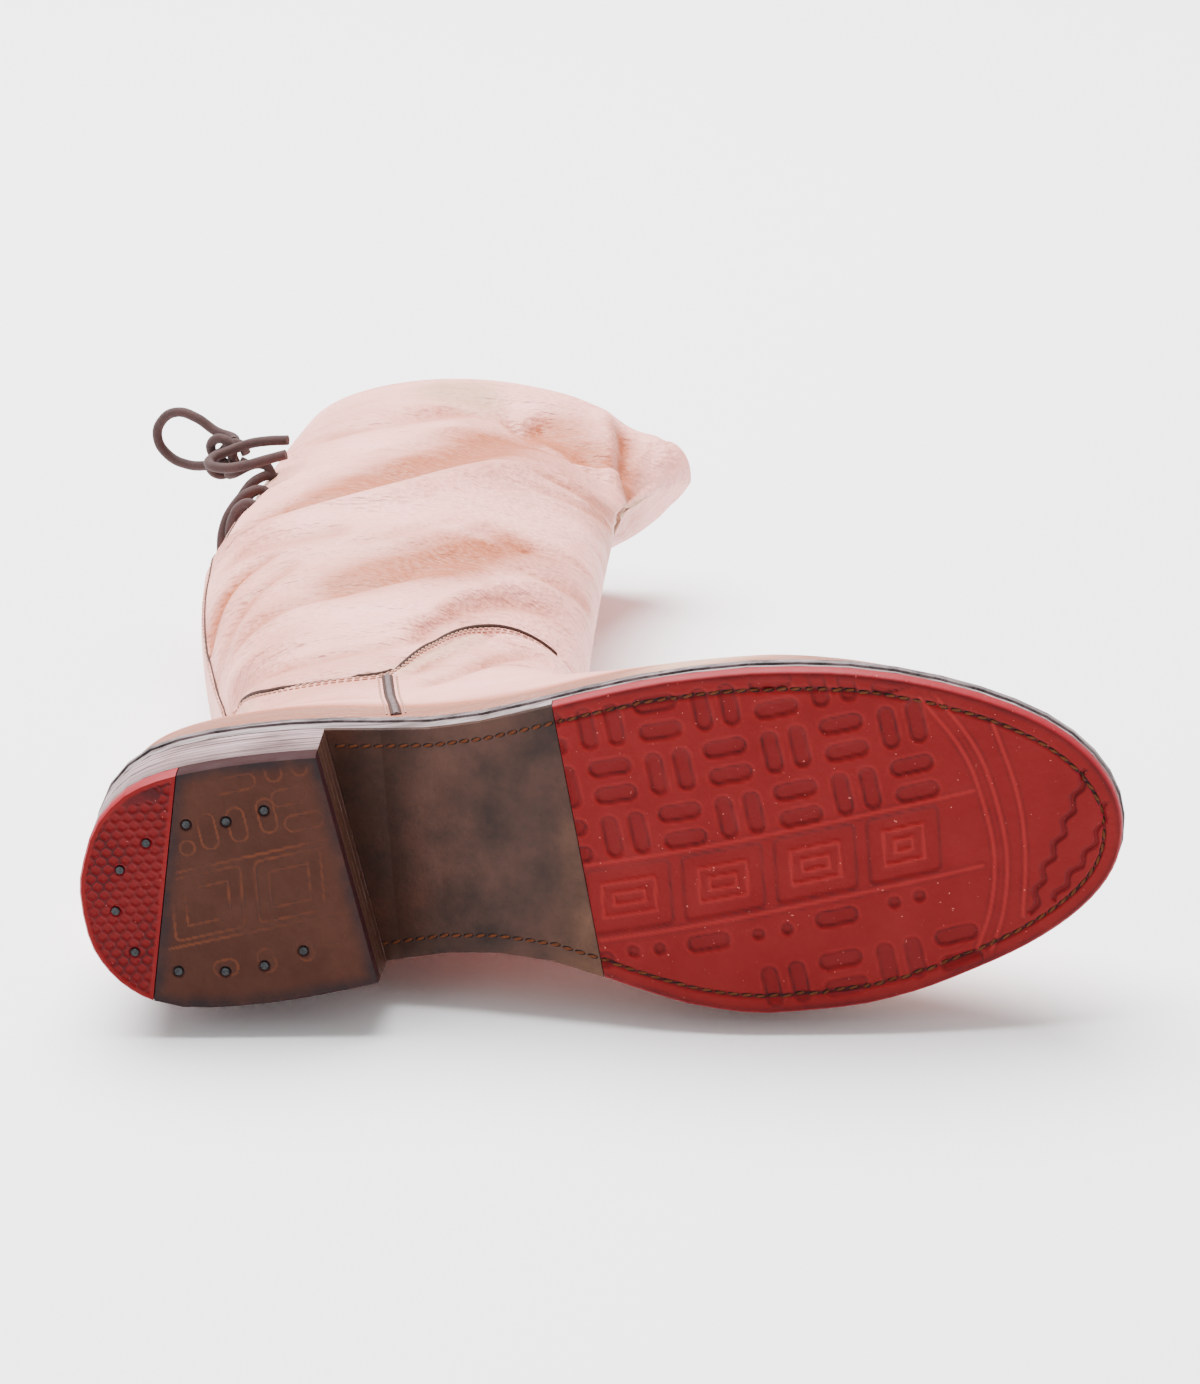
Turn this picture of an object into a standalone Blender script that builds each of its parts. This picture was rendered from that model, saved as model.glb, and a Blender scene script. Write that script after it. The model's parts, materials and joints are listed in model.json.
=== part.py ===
"""A tall slack leather boot for the right foot, lying on its medial side with its sole upright.

It is built in its own frame, x from heel to toe, y to the medial side and z up from the ground,
in metres, and is then laid down: the toe stays along +X, the shaft runs along +Y, medial is down.
"""

import math

import bmesh
import bpy
import numpy as np
from mathutils import Matrix, Vector

# Driving sizes, in metres.
SOLE_LENGTH = 0.2824
BALL_WIDTH = 0.0958
HEEL_RISE = 0.0275
TOE_SPRING = 0.0092
TOP_PIECE_THICK = 0.006
LIFT_THICK = 0.005
HEEL_DRAFT = 0.0009
RUBBER_THICK = 0.0046
RUBBER_PROUD = 0.0007
FOREPART_LEATHER = 0.0015
WELT_THICK = 0.003
WELT_REACH = 0.008
WELT_PROUD = 0.0003
INSOLE_THICK = 0.0025
FEATHER_INSET = 0.0046
WALL = 0.0022
OVERLAY = 0.0009
UPPER_HEIGHT = 0.410
SHAFT_THICK = 0.066
BACKSTAY_PROUD = 0.0006
CORD = 0.0032
LACE_HOLE = 0.0042
LACE_SPREAD = 0.017
NAIL = 0.0022
NAIL_HOLE = 0.0028
NAIL_LENGTH = 0.004
NAIL_SUNK = 0.00007
GAP = 0.0003
BEVEL = 0.0005

# How the boot lies: the sole leans back by LEAN, and the shaft turns by TURN to lie flat.
LEAN = math.radians(3.5)
TURN = math.radians(3.6)
FLOOR_AT_SOLE = 0.0342

# The sole's edge: share of SOLE_LENGTH from the back, then shares of BALL_WIDTH to each side.
EDGE = (
    # along, lateral, medial
    (0.0000, -0.0157, 0.0187),
    (0.0060, 0.0762, 0.1702),
    (0.0184, 0.1701, 0.2454),
    (0.0361, 0.2359, 0.3059),
    (0.0609, 0.2902, 0.3539),
    (0.0928, 0.3225, 0.3821),
    (0.1317, 0.3424, 0.3884),
    (0.1813, 0.3559, 0.3821),
    (0.2380, 0.3612, 0.3633),
    (0.2946, 0.3591, 0.3362),
    (0.3513, 0.3664, 0.3101),
    (0.4079, 0.3967, 0.3049),
    (0.4646, 0.4384, 0.3372),
    (0.5212, 0.4781, 0.3946),
    (0.5850, 0.5104, 0.4531),
    (0.6558, 0.5240, 0.4823),
    (0.7266, 0.5146, 0.4750),
    (0.7904, 0.4833, 0.4447),
    (0.8470, 0.4342, 0.3946),
    (0.8966, 0.3716, 0.3414),
    (0.9391, 0.2965, 0.2767),
    (0.9710, 0.2077, 0.2036),
    (0.9922, 0.1065, 0.1159),
    (1.0000, -0.0031, 0.0061),
)

# Height of the tread side of the sole: share of SOLE_LENGTH, then of HEEL_RISE and TOE_SPRING.
PROFILE = (
    # along, rise, spring
    (0.0000, 1.0000, 0.0000),
    (0.1282, 0.9564, 0.0000),
    (0.2000, 0.9170, 0.0000),
    (0.2415, 0.8810, 0.0000),
    (0.2805, 0.8220, 0.0000),
    (0.3229, 0.7180, 0.0000),
    (0.3761, 0.5360, 0.0000),
    (0.4292, 0.3709, 0.0000),
    (0.4858, 0.2255, 0.0000),
    (0.5354, 0.1236, 0.0000),
    (0.5885, 0.0436, 0.0000),
    (0.6416, 0.0000, 0.0000),
    (0.7295, 0.0000, 0.0000),
    (0.8180, 0.0000, 0.1359),
    (0.9065, 0.0000, 0.4717),
    (1.0000, 0.0000, 1.0000),
)

# Lines across the sole: share of SOLE_LENGTH where each crosses y = 0, and its slope.
BREAST = (0.2634, 0.177)
RUBBER_LINE = (0.4837, 0.112)
TOP_SPLIT = (0.0884, -0.191)

# Nail heads in the top piece: share of SOLE_LENGTH, share of BALL_WIDTH, medial positive.
NAILS = (
    # along, across
    (0.0736, -0.1200),
    (0.0460, -0.0459),
    (0.0382, 0.0731),
    (0.0527, 0.1962),
    (0.1136, -0.1681),
    (0.1519, -0.1701),
    (0.1890, -0.1962),
    (0.2145, 0.2182),
    (0.1759, 0.2557),
    (0.1381, 0.2672),
    (0.0931, 0.2589),
)

REAR_NAILS = 4  # how many of them are in the rear top piece

# Back line of the upper: share of UPPER_HEIGHT, share of SOLE_LENGTH.
BACK_LINE = (
    # height, along
    (0.0902, 0.0163),
    (0.1220, 0.0135),
    (0.1512, 0.0152),
    (0.1829, 0.0290),
    (0.2146, 0.0538),
    (0.2439, 0.0811),
    (0.2732, 0.0984),
    (0.2976, 0.1034),
    (0.3293, 0.0970),
    (0.3659, 0.0807),
    (0.4146, 0.0602),
    (0.4512, 0.0496),
    (0.5098, 0.0354),
    (0.5854, 0.0262),
    (0.6683, 0.0248),
    (0.7561, 0.0365),
    (0.8780, 0.0475),
    (1.0000, 0.0598),
)

# Front line of the upper, from the toe over the instep and up the shaft, in the same shares.
FRONT_LINE = (
    # height, along
    (0.0463, 0.9826),
    (0.0585, 0.9798),
    (0.0732, 0.9639),
    (0.0927, 0.9320),
    (0.1146, 0.8789),
    (0.1366, 0.8116),
    (0.1610, 0.7302),
    (0.1854, 0.6593),
    (0.2146, 0.5921),
    (0.2439, 0.5407),
    (0.2732, 0.5018),
    (0.3024, 0.4734),
    (0.3341, 0.4540),
    (0.3659, 0.4462),
    (0.4390, 0.4441),
    (0.5341, 0.4441),
    (0.6341, 0.4433),
    (0.7415, 0.4441),
    (0.8171, 0.4455),
    (0.8780, 0.4640),
    (0.9585, 0.5190),
    (0.9756, 0.5312),
)

# Top line of counter and vamp: share of the ring from back to front, share of UPPER_HEIGHT.
TOP_LINE = (
    # around, height
    (0.000, 0.338),
    (0.050, 0.308),
    (0.100, 0.277),
    (0.190, 0.254),
    (0.290, 0.243),
    (0.420, 0.238),
    (0.500, 0.240),
    (0.545, 0.260),
    (0.600, 0.296),
    (0.650, 0.326),
    (0.710, 0.354),
    (0.780, 0.373),
    (0.880, 0.386),
    (1.000, 0.392),
)

# Rings of the foot, from the feather edge to the top line: share of the way up, then how far
# the ring is rounded off, and the widths of its heel and vamp parts as shares of the feather's.
FOOT_RINGS = (
    # up, rounded, heel, vamp
    (0.00, 0.00, 1.00, 1.00),
    (0.05, 0.02, 1.03, 1.03),
    (0.12, 0.05, 1.05, 1.03),
    (0.19, 0.10, 1.06, 0.98),
    (0.25, 0.15, 1.06, 0.93),
    (0.31, 0.20, 1.05, 0.88),
    (0.38, 0.28, 1.04, 0.83),
    (0.45, 0.37, 1.02, 0.79),
    (0.53, 0.48, 1.00, 0.75),
    (0.62, 0.62, 0.97, 0.72),
    (0.74, 0.80, 0.94, 0.70),
    (0.87, 0.94, 0.91, 0.69),
    (1.00, 1.00, 0.90, 0.68),
)
ROUND_WIDTH = (0.345, 0.335)  # lateral and medial half width of a rounded ring, of BALL_WIDTH
SEAM_ALONG = (0.306, 0.283)  # the side seam at the feather and at the top line, of SOLE_LENGTH

# Rings of the shaft: share of UPPER_HEIGHT at the back, how much of the top line's dip is left,
# drop of the front, share of UPPER_HEIGHT, thickness, seam height as a share of it, how much
# lower the upward side lies towards the front, how oval that side is (1) or how square, and
# the same for the floor side at the front.
SHAFT_RINGS = (
    # back, dip, drop, thick, seam, slope, oval, front oval
    (0.346, 0.96, 0.000, 0.93, 0.44, 0.00, 0.90, 0.85),
    (0.358, 0.88, 0.000, 0.94, 0.45, 0.00, 0.90, 0.85),
    (0.376, 0.76, 0.000, 0.96, 0.46, 0.00, 0.90, 0.85),
    (0.398, 0.62, 0.000, 0.98, 0.48, 0.00, 0.90, 0.85),
    (0.424, 0.45, 0.000, 1.01, 0.50, 0.02, 0.90, 0.85),
    (0.452, 0.28, 0.000, 1.03, 0.52, 0.04, 0.90, 0.86),
    (0.482, 0.13, 0.000, 1.05, 0.54, 0.05, 0.90, 0.88),
    (0.515, 0.03, 0.000, 1.06, 0.56, 0.06, 0.90, 0.93),
    (0.552, 0.00, 0.000, 1.05, 0.58, 0.08, 0.90, 0.98),
    (0.591, 0.00, 0.000, 1.04, 0.58, 0.09, 0.90, 1.05),
    (0.627, 0.00, 0.000, 1.03, 0.58, 0.10, 0.90, 1.12),
    (0.663, 0.00, 0.000, 1.02, 0.58, 0.11, 0.90, 1.22),
    (0.699, 0.00, 0.002, 1.01, 0.58, 0.13, 0.90, 1.36),
    (0.735, 0.00, 0.005, 1.01, 0.58, 0.15, 0.90, 1.50),
    (0.771, 0.00, 0.010, 1.00, 0.58, 0.16, 0.89, 1.64),
    (0.807, 0.00, 0.016, 1.00, 0.58, 0.17, 0.87, 1.76),
    (0.843, 0.00, 0.022, 0.99, 0.57, 0.18, 0.84, 1.84),
    (0.879, 0.00, 0.028, 0.98, 0.56, 0.18, 0.81, 1.86),
    (0.915, 0.00, 0.034, 0.97, 0.55, 0.18, 0.78, 1.82),
    (0.950, 0.00, 0.040, 0.96, 0.54, 0.18, 0.76, 1.74),
    (0.980, 0.00, 0.044, 0.95, 0.53, 0.18, 0.75, 1.66),
    (1.000, 0.00, 0.046, 0.95, 0.52, 0.18, 0.75, 1.60),
)

# Folds on the upward side of the shaft: half width as a share of UPPER_HEIGHT, height in walls
# with hollows negative, then points in shares of SOLE_LENGTH and UPPER_HEIGHT.
FOLDS = (
    # half width, high, ((along, up), ...)
    (0.042, 1.3, ((0.07, 0.51), (0.18, 0.53), (0.24, 0.57), (0.32, 0.66), (0.385, 0.77))),
    (0.034, -2.0, ((0.11, 0.765), (0.17, 0.775), (0.22, 0.82), (0.29, 0.90), (0.32, 0.905))),
    (0.024, -1.6, ((0.33, 0.90), (0.37, 0.857), (0.42, 0.815), (0.445, 0.812))),
    (0.022, -2.4, ((0.462, 0.80), (0.464, 0.90), (0.458, 1.00))),
)

OVAL = 0.85  # power of the sine that shapes a ring: 1 is an oval, less is squarer
FRONT_PART = 0.375  # share of a ring, from the back, where its front part begins
REACH_TURN = (0.5, 2.1)  # where heel widths give way to vamp widths, in seam distances
FOLD_FADE = 0.5  # power of the sine that fades the folds out at the back and front lines
HEEL_COLUMNS = 8
VAMP_COLUMNS = 13
HEEL_EASE = 0.25
VAMP_EASE = 1.35
STATIONS = 30
LIFTS = 4
LIFT_STATIONS, REAR_STATIONS, FRONT_STATIONS = 14, 9, 8
ROOM_SLICES, ROOM_REACH = 23, 0.8
END_SHARE = 0.2  # share of the sole at each end where its outlines differ in length
STACK_CLEAR = 0.0004  # between the heel stack and the sole above it
UPPER_CLEAR = 0.0012  # between the welt and the upper's lower edge
TURN_FROM, TURN_TO = 0.30, 1.00  # share of the foot's height over which the ring turns
STAY_EDGE, STAY_TOP = 0.06, 0.66  # backstay's step, share of a column, and its top
LACE_CLEAR = 0.00045
LACE_CROSS = 0.00256  # how far the upper strand of a cross stands off the lower
LACE_LEVELS = (0.712, 0.751, 0.790)  # share of UPPER_HEIGHT

COLOURS = {
    "upper": (0.90, 0.72, 0.65, 1.0),
    "insole": (0.62, 0.48, 0.36, 1.0),
    "welt": (0.52, 0.48, 0.45, 1.0),
    "outsole": (0.17, 0.10, 0.07, 1.0),
    "rubber": (0.42, 0.03, 0.03, 1.0),
    "stack": (0.48, 0.44, 0.42, 1.0),
    "top_piece": (0.20, 0.09, 0.05, 1.0),
    "nail": (0.08, 0.08, 0.09, 1.0),
    "lace": (0.10, 0.05, 0.045, 1.0),
}


def smooth(rows, column, at):
    """The table's column at these keys, on a curve that never overshoots its rows."""
    key = np.array([row[0] for row in rows], float)
    value = np.array([row[column] for row in rows], float)
    step = np.diff(key)
    slope = np.diff(value) / step
    lean = np.zeros(len(key))
    turns = slope[:-1] * slope[1:] > 0
    first = 2 * step[1:] + step[:-1]
    second = step[1:] + 2 * step[:-1]
    safe = np.where(turns, slope[:-1] * slope[1:], 1.0)
    mean = (first + second) * safe / (first * slope[1:] + second * slope[:-1] + (~turns) * 1.0)
    lean[1:-1] = np.where(turns, mean, 0.0)
    lean[0], lean[-1] = slope[0], slope[-1]
    at = np.clip(np.asarray(at, float), key[0], key[-1])
    cell = np.clip(np.searchsorted(key, at, side="right") - 1, 0, len(step) - 1)
    width = step[cell]
    part = (at - key[cell]) / width
    return (
        value[cell] * (1 + 2 * part) * (1 - part) ** 2
        + value[cell + 1] * part**2 * (3 - 2 * part)
        + lean[cell] * width * part * (1 - part) ** 2
        - lean[cell + 1] * width * part**2 * (1 - part)
    )


def smoothstep(value):
    value = np.clip(value, 0, 1)
    return value * value * (3 - 2 * value)


ROUND_EDGE = tuple((math.acos(1 - 2 * row[0]), row[1], row[2]) for row in EDGE)


def outline(inset, count=241):
    """The sole's edge moved inwards: points of its lateral and medial sides, from back to toe."""
    angle = np.linspace(0, math.pi, count)
    along = SOLE_LENGTH * (1 - np.cos(angle)) / 2
    lateral = np.stack([along, -BALL_WIDTH * smooth(ROUND_EDGE, 1, angle)], 1)
    medial = np.stack([along, BALL_WIDTH * smooth(ROUND_EDGE, 2, angle)], 1)
    loop = np.concatenate([lateral, medial[-2:0:-1]])
    tangent = np.roll(loop, -1, 0) - np.roll(loop, 1, 0)
    tangent /= np.linalg.norm(tangent, axis=1)[:, None]
    loop = loop + inset * np.stack([-tangent[:, 1], tangent[:, 0]], 1)
    return loop[:count], np.concatenate([loop[:1], loop[: count - 2 : -1]])


def tread(along):
    """Height of the sole's tread side at this distance from the back."""
    share = np.clip(np.asarray(along) / SOLE_LENGTH, 0, 1)
    return HEEL_RISE * smooth(PROFILE, 1, share) + TOE_SPRING * smooth(PROFILE, 2, share)


def crossing(side, line, shift=0.0):
    """Where a line across the sole meets this side of an outline."""
    along, slope = line[0] * SOLE_LENGTH + shift, line[1]
    off = side[:, 0] - along - slope * side[:, 1]
    last = int(np.argmax(off > 0))
    part = off[last - 1] / (off[last - 1] - off[last])
    return float(side[last - 1, 0] + part * (side[last, 0] - side[last - 1, 0]))


def pairs(inset, count, low=None, high=None):
    """Matching points on both sides of an outline, between two lines across the sole."""
    found = []
    for side in outline(inset):
        start = side[0, 0] if low is None else crossing(side, low[0], low[1])
        stop = side[-1, 0] if high is None else crossing(side, high[0], high[1])
        share = np.linspace(0, 1, count + 1)
        if low is None and high is None:
            # Between the rounded ends every outline has its stations at the same places.
            share = (1 - np.cos(math.pi * share)) / 2
            along = SOLE_LENGTH * share + start * (1 - smoothstep(share / END_SHARE))
            along += (stop - SOLE_LENGTH) * (1 - smoothstep((1 - share) / END_SHARE))
        else:
            if low is None:
                share = 1 - np.cos(math.pi / 2 * share)
            elif high is None:
                share = np.sin(math.pi / 2 * share)
            along = start + (stop - start) * share
        found.append(np.stack([along, np.interp(along, side[:, 0], side[:, 1])], 1))
    return found


def material(kind):
    name = kind + "_material"
    found = bpy.data.materials.get(name)
    if found is None:
        found = bpy.data.materials.new(name)
        found.use_nodes = True
        shader = found.node_tree.nodes["Principled BSDF"]
        shader.inputs["Base Color"].default_value = COLOURS[kind]
        shader.inputs["Roughness"].default_value = 0.6
        found.diffuse_color = COLOURS[kind]
    return found


def add(name, data, kind, placing):
    data.materials.append(material(kind))
    made = bpy.data.objects.new(name, data)
    bpy.context.collection.objects.link(made)
    made.parent = placing
    return made


def closed_mesh(name, points, faces):
    """A mesh from points and faces, its doubled points joined and its faces turned outwards."""
    made = bpy.data.meshes.new(name)
    made.from_pydata([tuple(map(float, p)) for p in points], [], faces)
    work = bmesh.new()
    work.from_mesh(made)
    bmesh.ops.remove_doubles(work, verts=work.verts[:], dist=1e-7)
    bmesh.ops.recalc_face_normals(work, faces=work.faces[:])
    work.to_mesh(made)
    work.free()
    return made


def plate(name, layers, kind, placing, count=STATIONS, low=None, high=None):
    """A solid between outlines stacked from the bottom up, each an inset and a height rule."""
    points, faces = [], []
    around = 2 * (count + 1)
    for inset, height in layers:
        lateral, medial = pairs(inset, count, low, high)
        for x, y in np.concatenate([lateral, medial[::-1]]):
            points.append((x, y, float(height(x))))
    for level in range(len(layers) - 1):
        base = level * around
        for i in range(around):
            j = (i + 1) % around
            faces.append((base + i, base + j, base + around + j, base + around + i))
    top = (len(layers) - 1) * around
    for i in range(count):
        far, near = around - 2 - i, around - 1 - i
        faces.append((i, near, far, i + 1))
        faces.append((top + i, top + i + 1, top + far, top + near))
    return add(name, closed_mesh(name, points, faces), kind, placing)


def band(name, outer, inner, bottom, top, kind, placing):
    """A closed band between two outlines, from one height rule to another."""
    loops = []
    for inset, height in ((outer, bottom), (outer, top), (inner, top), (inner, bottom)):
        lateral, medial = pairs(inset, STATIONS)
        ring = np.concatenate([lateral, medial[-2:0:-1]])
        loops.append([(x, y, float(height(x))) for x, y in ring])
    size = len(loops[0])
    points = [p for loop in loops for p in loop]
    faces = []
    for k in range(4):
        a, b = k * size, (k + 1) % 4 * size
        faces += [(a + i, a + (i + 1) % size, b + (i + 1) % size, b + i) for i in range(size)]
    return add(name, closed_mesh(name, points, faces), kind, placing)


def level(height):
    return lambda along: height


def over(rise):
    return lambda along: tread(along) + rise


def rods(places, radius, low, high, sides):
    """Upright round rods as points and faces."""
    points, faces = [], []
    for x, y in places:
        base = len(points)
        for z in (low, high):
            for i in range(sides):
                turn = 2 * math.pi * i / sides
                points.append((x + radius * math.cos(turn), y + radius * math.sin(turn), z))
        faces.append(tuple(base + i for i in range(sides)))
        faces.append(tuple(base + sides + i for i in range(sides)))
        for i in range(sides):
            j = (i + 1) % sides
            faces.append((base + i, base + j, base + sides + j, base + sides + i))
    return points, faces


def cut(target, cutter, operation="DIFFERENCE"):
    made = target.modifiers.new(operation.lower() + "_" + cutter.name, "BOOLEAN")
    made.operation = operation
    made.solver = "EXACT"
    made.object = cutter


def helper(name, mesh, placing):
    made = bpy.data.objects.new(name, mesh)
    bpy.context.collection.objects.link(made)
    made.parent = placing
    made.hide_render = True
    made.display_type = "WIRE"
    return made


def floor_at(height):
    """Where the floor lies, medially of the turned shaft frame."""
    return FLOOR_AT_SOLE - height * math.tan(LEAN)


def turned(along, across, height, share=1.0):
    """A point of the shaft's turned frame in the boot's own."""
    angle = TURN * share
    return (
        along * math.cos(angle) - across * math.sin(angle),
        along * math.sin(angle) + across * math.cos(angle),
        height,
    )


def columns():
    """Shares of the way along each side, back to front, with the side seam at HEEL_COLUMNS."""
    heel = np.linspace(0, 1, HEEL_COLUMNS + 1)
    heel = (1 - HEEL_EASE) * heel + HEEL_EASE * heel**2
    vamp = np.linspace(0, 1, VAMP_COLUMNS + 1)[1:]
    vamp = 1 - (1 - vamp) ** VAMP_EASE
    return heel, vamp


def stretched(low, middle, high):
    """Values at each column, running low to middle over the heel and middle to high beyond."""
    heel, vamp = columns()
    return np.concatenate([low + (middle - low) * heel, middle + (high - middle) * vamp])


def feather_side(side):
    """Column points of one side of the feather edge, in steps along its arc."""
    arc = np.concatenate([[0], np.cumsum(np.linalg.norm(np.diff(side, axis=0), axis=1))])
    seam = np.interp(SEAM_ALONG[0] * SOLE_LENGTH, side[:, 0], arc)
    at = stretched(0.0, seam, arc[-1])
    return np.stack([np.interp(at, arc, side[:, 0]), np.interp(at, arc, side[:, 1])], 1)


def ring_side(sign, back, front, feather, shape, half, oval):
    """One side of a ring: along and across at each column."""
    rounded, heel, vamp, slope = shape
    foot_seam = SEAM_ALONG[0] * SOLE_LENGTH
    seam = foot_seam + (SEAM_ALONG[1] * SOLE_LENGTH - foot_seam) * rounded
    xs, ys = feather[:, 0], np.abs(feather[:, 1] - feather[0, 1])
    low, high = feather[0, 0], feather[-1, 0]
    scaled = np.where(
        xs < foot_seam,
        back + (xs - low) / (foot_seam - low) * (seam - back),
        seam + (xs - foot_seam) / (high - foot_seam) * (front - seam),
    )
    towards_toe = (xs / foot_seam - REACH_TURN[0]) / (REACH_TURN[1] - REACH_TURN[0])
    reach = heel + (vamp - heel) * smoothstep(towards_toe)
    turn_at = math.acos(1 - 2 * (seam - back) / (front - back))
    angle = stretched(0.0, turn_at, math.pi)
    around = (1 - np.cos(angle)) / 2
    egg = back + (front - back) * around
    forward = smoothstep((around - FRONT_PART) / (1 - FRONT_PART))
    bulge = half * np.sin(angle) ** (oval[0] + (oval[1] - oval[0]) * forward)
    if sign < 0:
        bulge *= 1 - slope * forward
    along = (1 - rounded) * scaled + rounded * egg
    across = (1 - rounded) * ys * reach + rounded * bulge
    return along, sign * across


def fold_height(along, height):
    """How far the folds raise the shaft's upward side here."""
    at = np.stack([along, height], 1)
    total = np.zeros(len(at))
    for width, high, line in FOLDS:
        line = np.array(line) * (SOLE_LENGTH, UPPER_HEIGHT)
        nearest = np.full(len(at), np.inf)
        for start, end in zip(line[:-1], line[1:]):
            run = end - start
            share = np.clip((at - start) @ run / run.dot(run), 0, 1)
            off = np.linalg.norm(at - start - share[:, None] * run, axis=1)
            nearest = np.minimum(nearest, off)
        total += high * WALL * np.exp(-((nearest / (width * UPPER_HEIGHT)) ** 2))
    return total


def upper_rings():
    """Rings of points from feather edge to collar, and which rings lie below the top line."""
    lateral, medial = (feather_side(side) for side in outline(FEATHER_INSET))
    base = RUBBER_THICK + FOREPART_LEATHER + WELT_THICK + UPPER_CLEAR
    rings, below = [], []

    def assemble(back_z, front_z, shape, halves, ovals, heights, centre, share):
        back = SOLE_LENGTH * float(smooth(BACK_LINE, 1, back_z / UPPER_HEIGHT))
        front = SOLE_LENGTH * float(smooth(FRONT_LINE, 1, front_z / UPPER_HEIGHT))
        sides = []
        for sign, feather, half, oval in zip((-1, 1), (lateral, medial), halves, ovals):
            along, across = ring_side(sign, back, front, feather, shape, half, oval)
            z = heights(feather, along, back, front)
            middle = centre(z, along)
            sides.append(np.stack(turned(along, across + middle, z, share), 1))
        return np.concatenate([sides[0], sides[1][-2:0:-1]])

    low_back = float(tread(lateral[0, 0])) + base
    low_front = float(tread(lateral[-1, 0])) + base
    top_back, top_front = TOP_LINE[0][1] * UPPER_HEIGHT, TOP_LINE[-1][1] * UPPER_HEIGHT
    foot_middle = float(lateral[0, 1])
    for up, rounded, heel, vamp in FOOT_RINGS:
        back_z = low_back + up * (top_back - low_back)
        front_z = low_front + up * (top_front - low_front)
        share = float(smoothstep((up - TURN_FROM) / (TURN_TO - TURN_FROM)))

        def heights(feather, along, back, front, up=up):
            start = tread(feather[:, 0]) + base
            around = (along - back) / (front - back)
            goal = UPPER_HEIGHT * smooth(TOP_LINE, 1, around)
            return start + up * (goal - start)

        def centre(z, along, share=share):
            shaft = floor_at(z) - SHAFT_RINGS[0][3] * SHAFT_RINGS[0][4] * SHAFT_THICK
            return foot_middle * (1 - share) + shaft * share

        halves = [width * BALL_WIDTH for width in ROUND_WIDTH]
        shape = (rounded, heel, vamp, 0.0)
        ovals = ((OVAL, OVAL), (OVAL, OVAL))
        rings.append(assemble(back_z, front_z, shape, halves, ovals, heights, centre, share))
        below.append(True)
    rings.append(rings[-1] + np.array([0, 0, GAP]))
    below.append(False)

    for back_share, dip, drop, thick, seam, slope, oval, front_oval in SHAFT_RINGS:
        back_z = back_share * UPPER_HEIGHT

        def heights(feather, along, back, front, back_z=back_z, dip=dip, drop=drop):
            around = (along - back) / (front - back)
            wave = UPPER_HEIGHT * (smooth(TOP_LINE, 1, around) - TOP_LINE[0][1])
            return back_z + dip * wave - drop * UPPER_HEIGHT * around

        def centre(z, along, thick=thick, seam=seam):
            return floor_at(z) - thick * seam * SHAFT_THICK

        front_z = back_z + dip * (top_front - top_back) - drop * UPPER_HEIGHT
        halves = [thick * (1 - seam) * SHAFT_THICK, thick * seam * SHAFT_THICK - GAP]
        shape = (1.0, 1.0, 1.0, slope)
        ovals = ((oval, oval), (OVAL, front_oval))
        ring = assemble(back_z, front_z, shape, halves, ovals, heights, centre, 1.0)
        side = HEEL_COLUMNS + VAMP_COLUMNS + 1
        fade = np.sin(np.linspace(0, math.pi, side)) ** FOLD_FADE
        ring[:side, 1] -= fade * fold_height(ring[:side, 0], ring[:side, 2])
        rings.append(ring)
        below.append(False)
    return np.array(rings), np.array(below)


def skin_normals(rings):
    """Outward normals of a grid of rings."""
    around = np.roll(rings, -1, 1) - np.roll(rings, 1, 1)
    up = np.empty_like(rings)
    up[1:-1] = rings[2:] - rings[:-2]
    up[0], up[-1] = rings[1] - rings[0], rings[-1] - rings[-2]
    normal = np.cross(around, up)
    normal /= np.linalg.norm(normal, axis=2)[:, :, None]
    return normal


def make_upper(placing):
    rings, below = upper_rings()
    # A second column beside each edge of the backstay makes its step.
    first = rings[:, 1] + STAY_EDGE * (rings[:, 2] - rings[:, 1])
    last = rings[:, -1] + STAY_EDGE * (rings[:, -2] - rings[:, -1])
    rings = np.insert(rings, 2, first, axis=1)
    rings = np.insert(rings, rings.shape[1] - 1, last, axis=1)
    normal = skin_normals(rings)
    step = int(np.argmin(below))
    normal[step - 1] = normal[step] = (normal[step - 2] + normal[step + 1]) / 2
    normal /= np.linalg.norm(normal, axis=2)[:, :, None]
    # Counter and vamp lie over the shaft leather, so their outside stands further out.
    proud = np.repeat(OVERLAY * below[:, None], rings.shape[1], axis=1)
    stay = (~below) & (rings[:, 0, 2] < STAY_TOP * UPPER_HEIGHT)
    for column in (0, 1, -1):
        proud[stay, column] = BACKSTAY_PROUD
    outer = rings + normal * (WALL / 2 + proud)[:, :, None]
    inner = rings - normal * WALL / 2
    inner[0, :, 2] = outer[0, :, 2] = rings[0, :, 2]
    levels, size = rings.shape[:2]
    points = np.concatenate([outer.reshape(-1, 3), inner.reshape(-1, 3)])
    inside = levels * size
    faces = []
    for k in range(levels - 1):
        for i in range(size):
            j = (i + 1) % size
            a, b = k * size, (k + 1) * size
            faces.append((a + i, a + j, b + j, b + i))
            faces.append((inside + a + i, inside + b + i, inside + b + j, inside + a + j))
    top = (levels - 1) * size
    for i in range(size):
        j = (i + 1) % size
        faces.append((i, inside + i, inside + j, j))
        faces.append((top + i, top + j, inside + top + j, inside + top + i))
    upper = add("upper", closed_mesh("upper", points, faces), "upper", placing)
    return upper, outer


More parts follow.
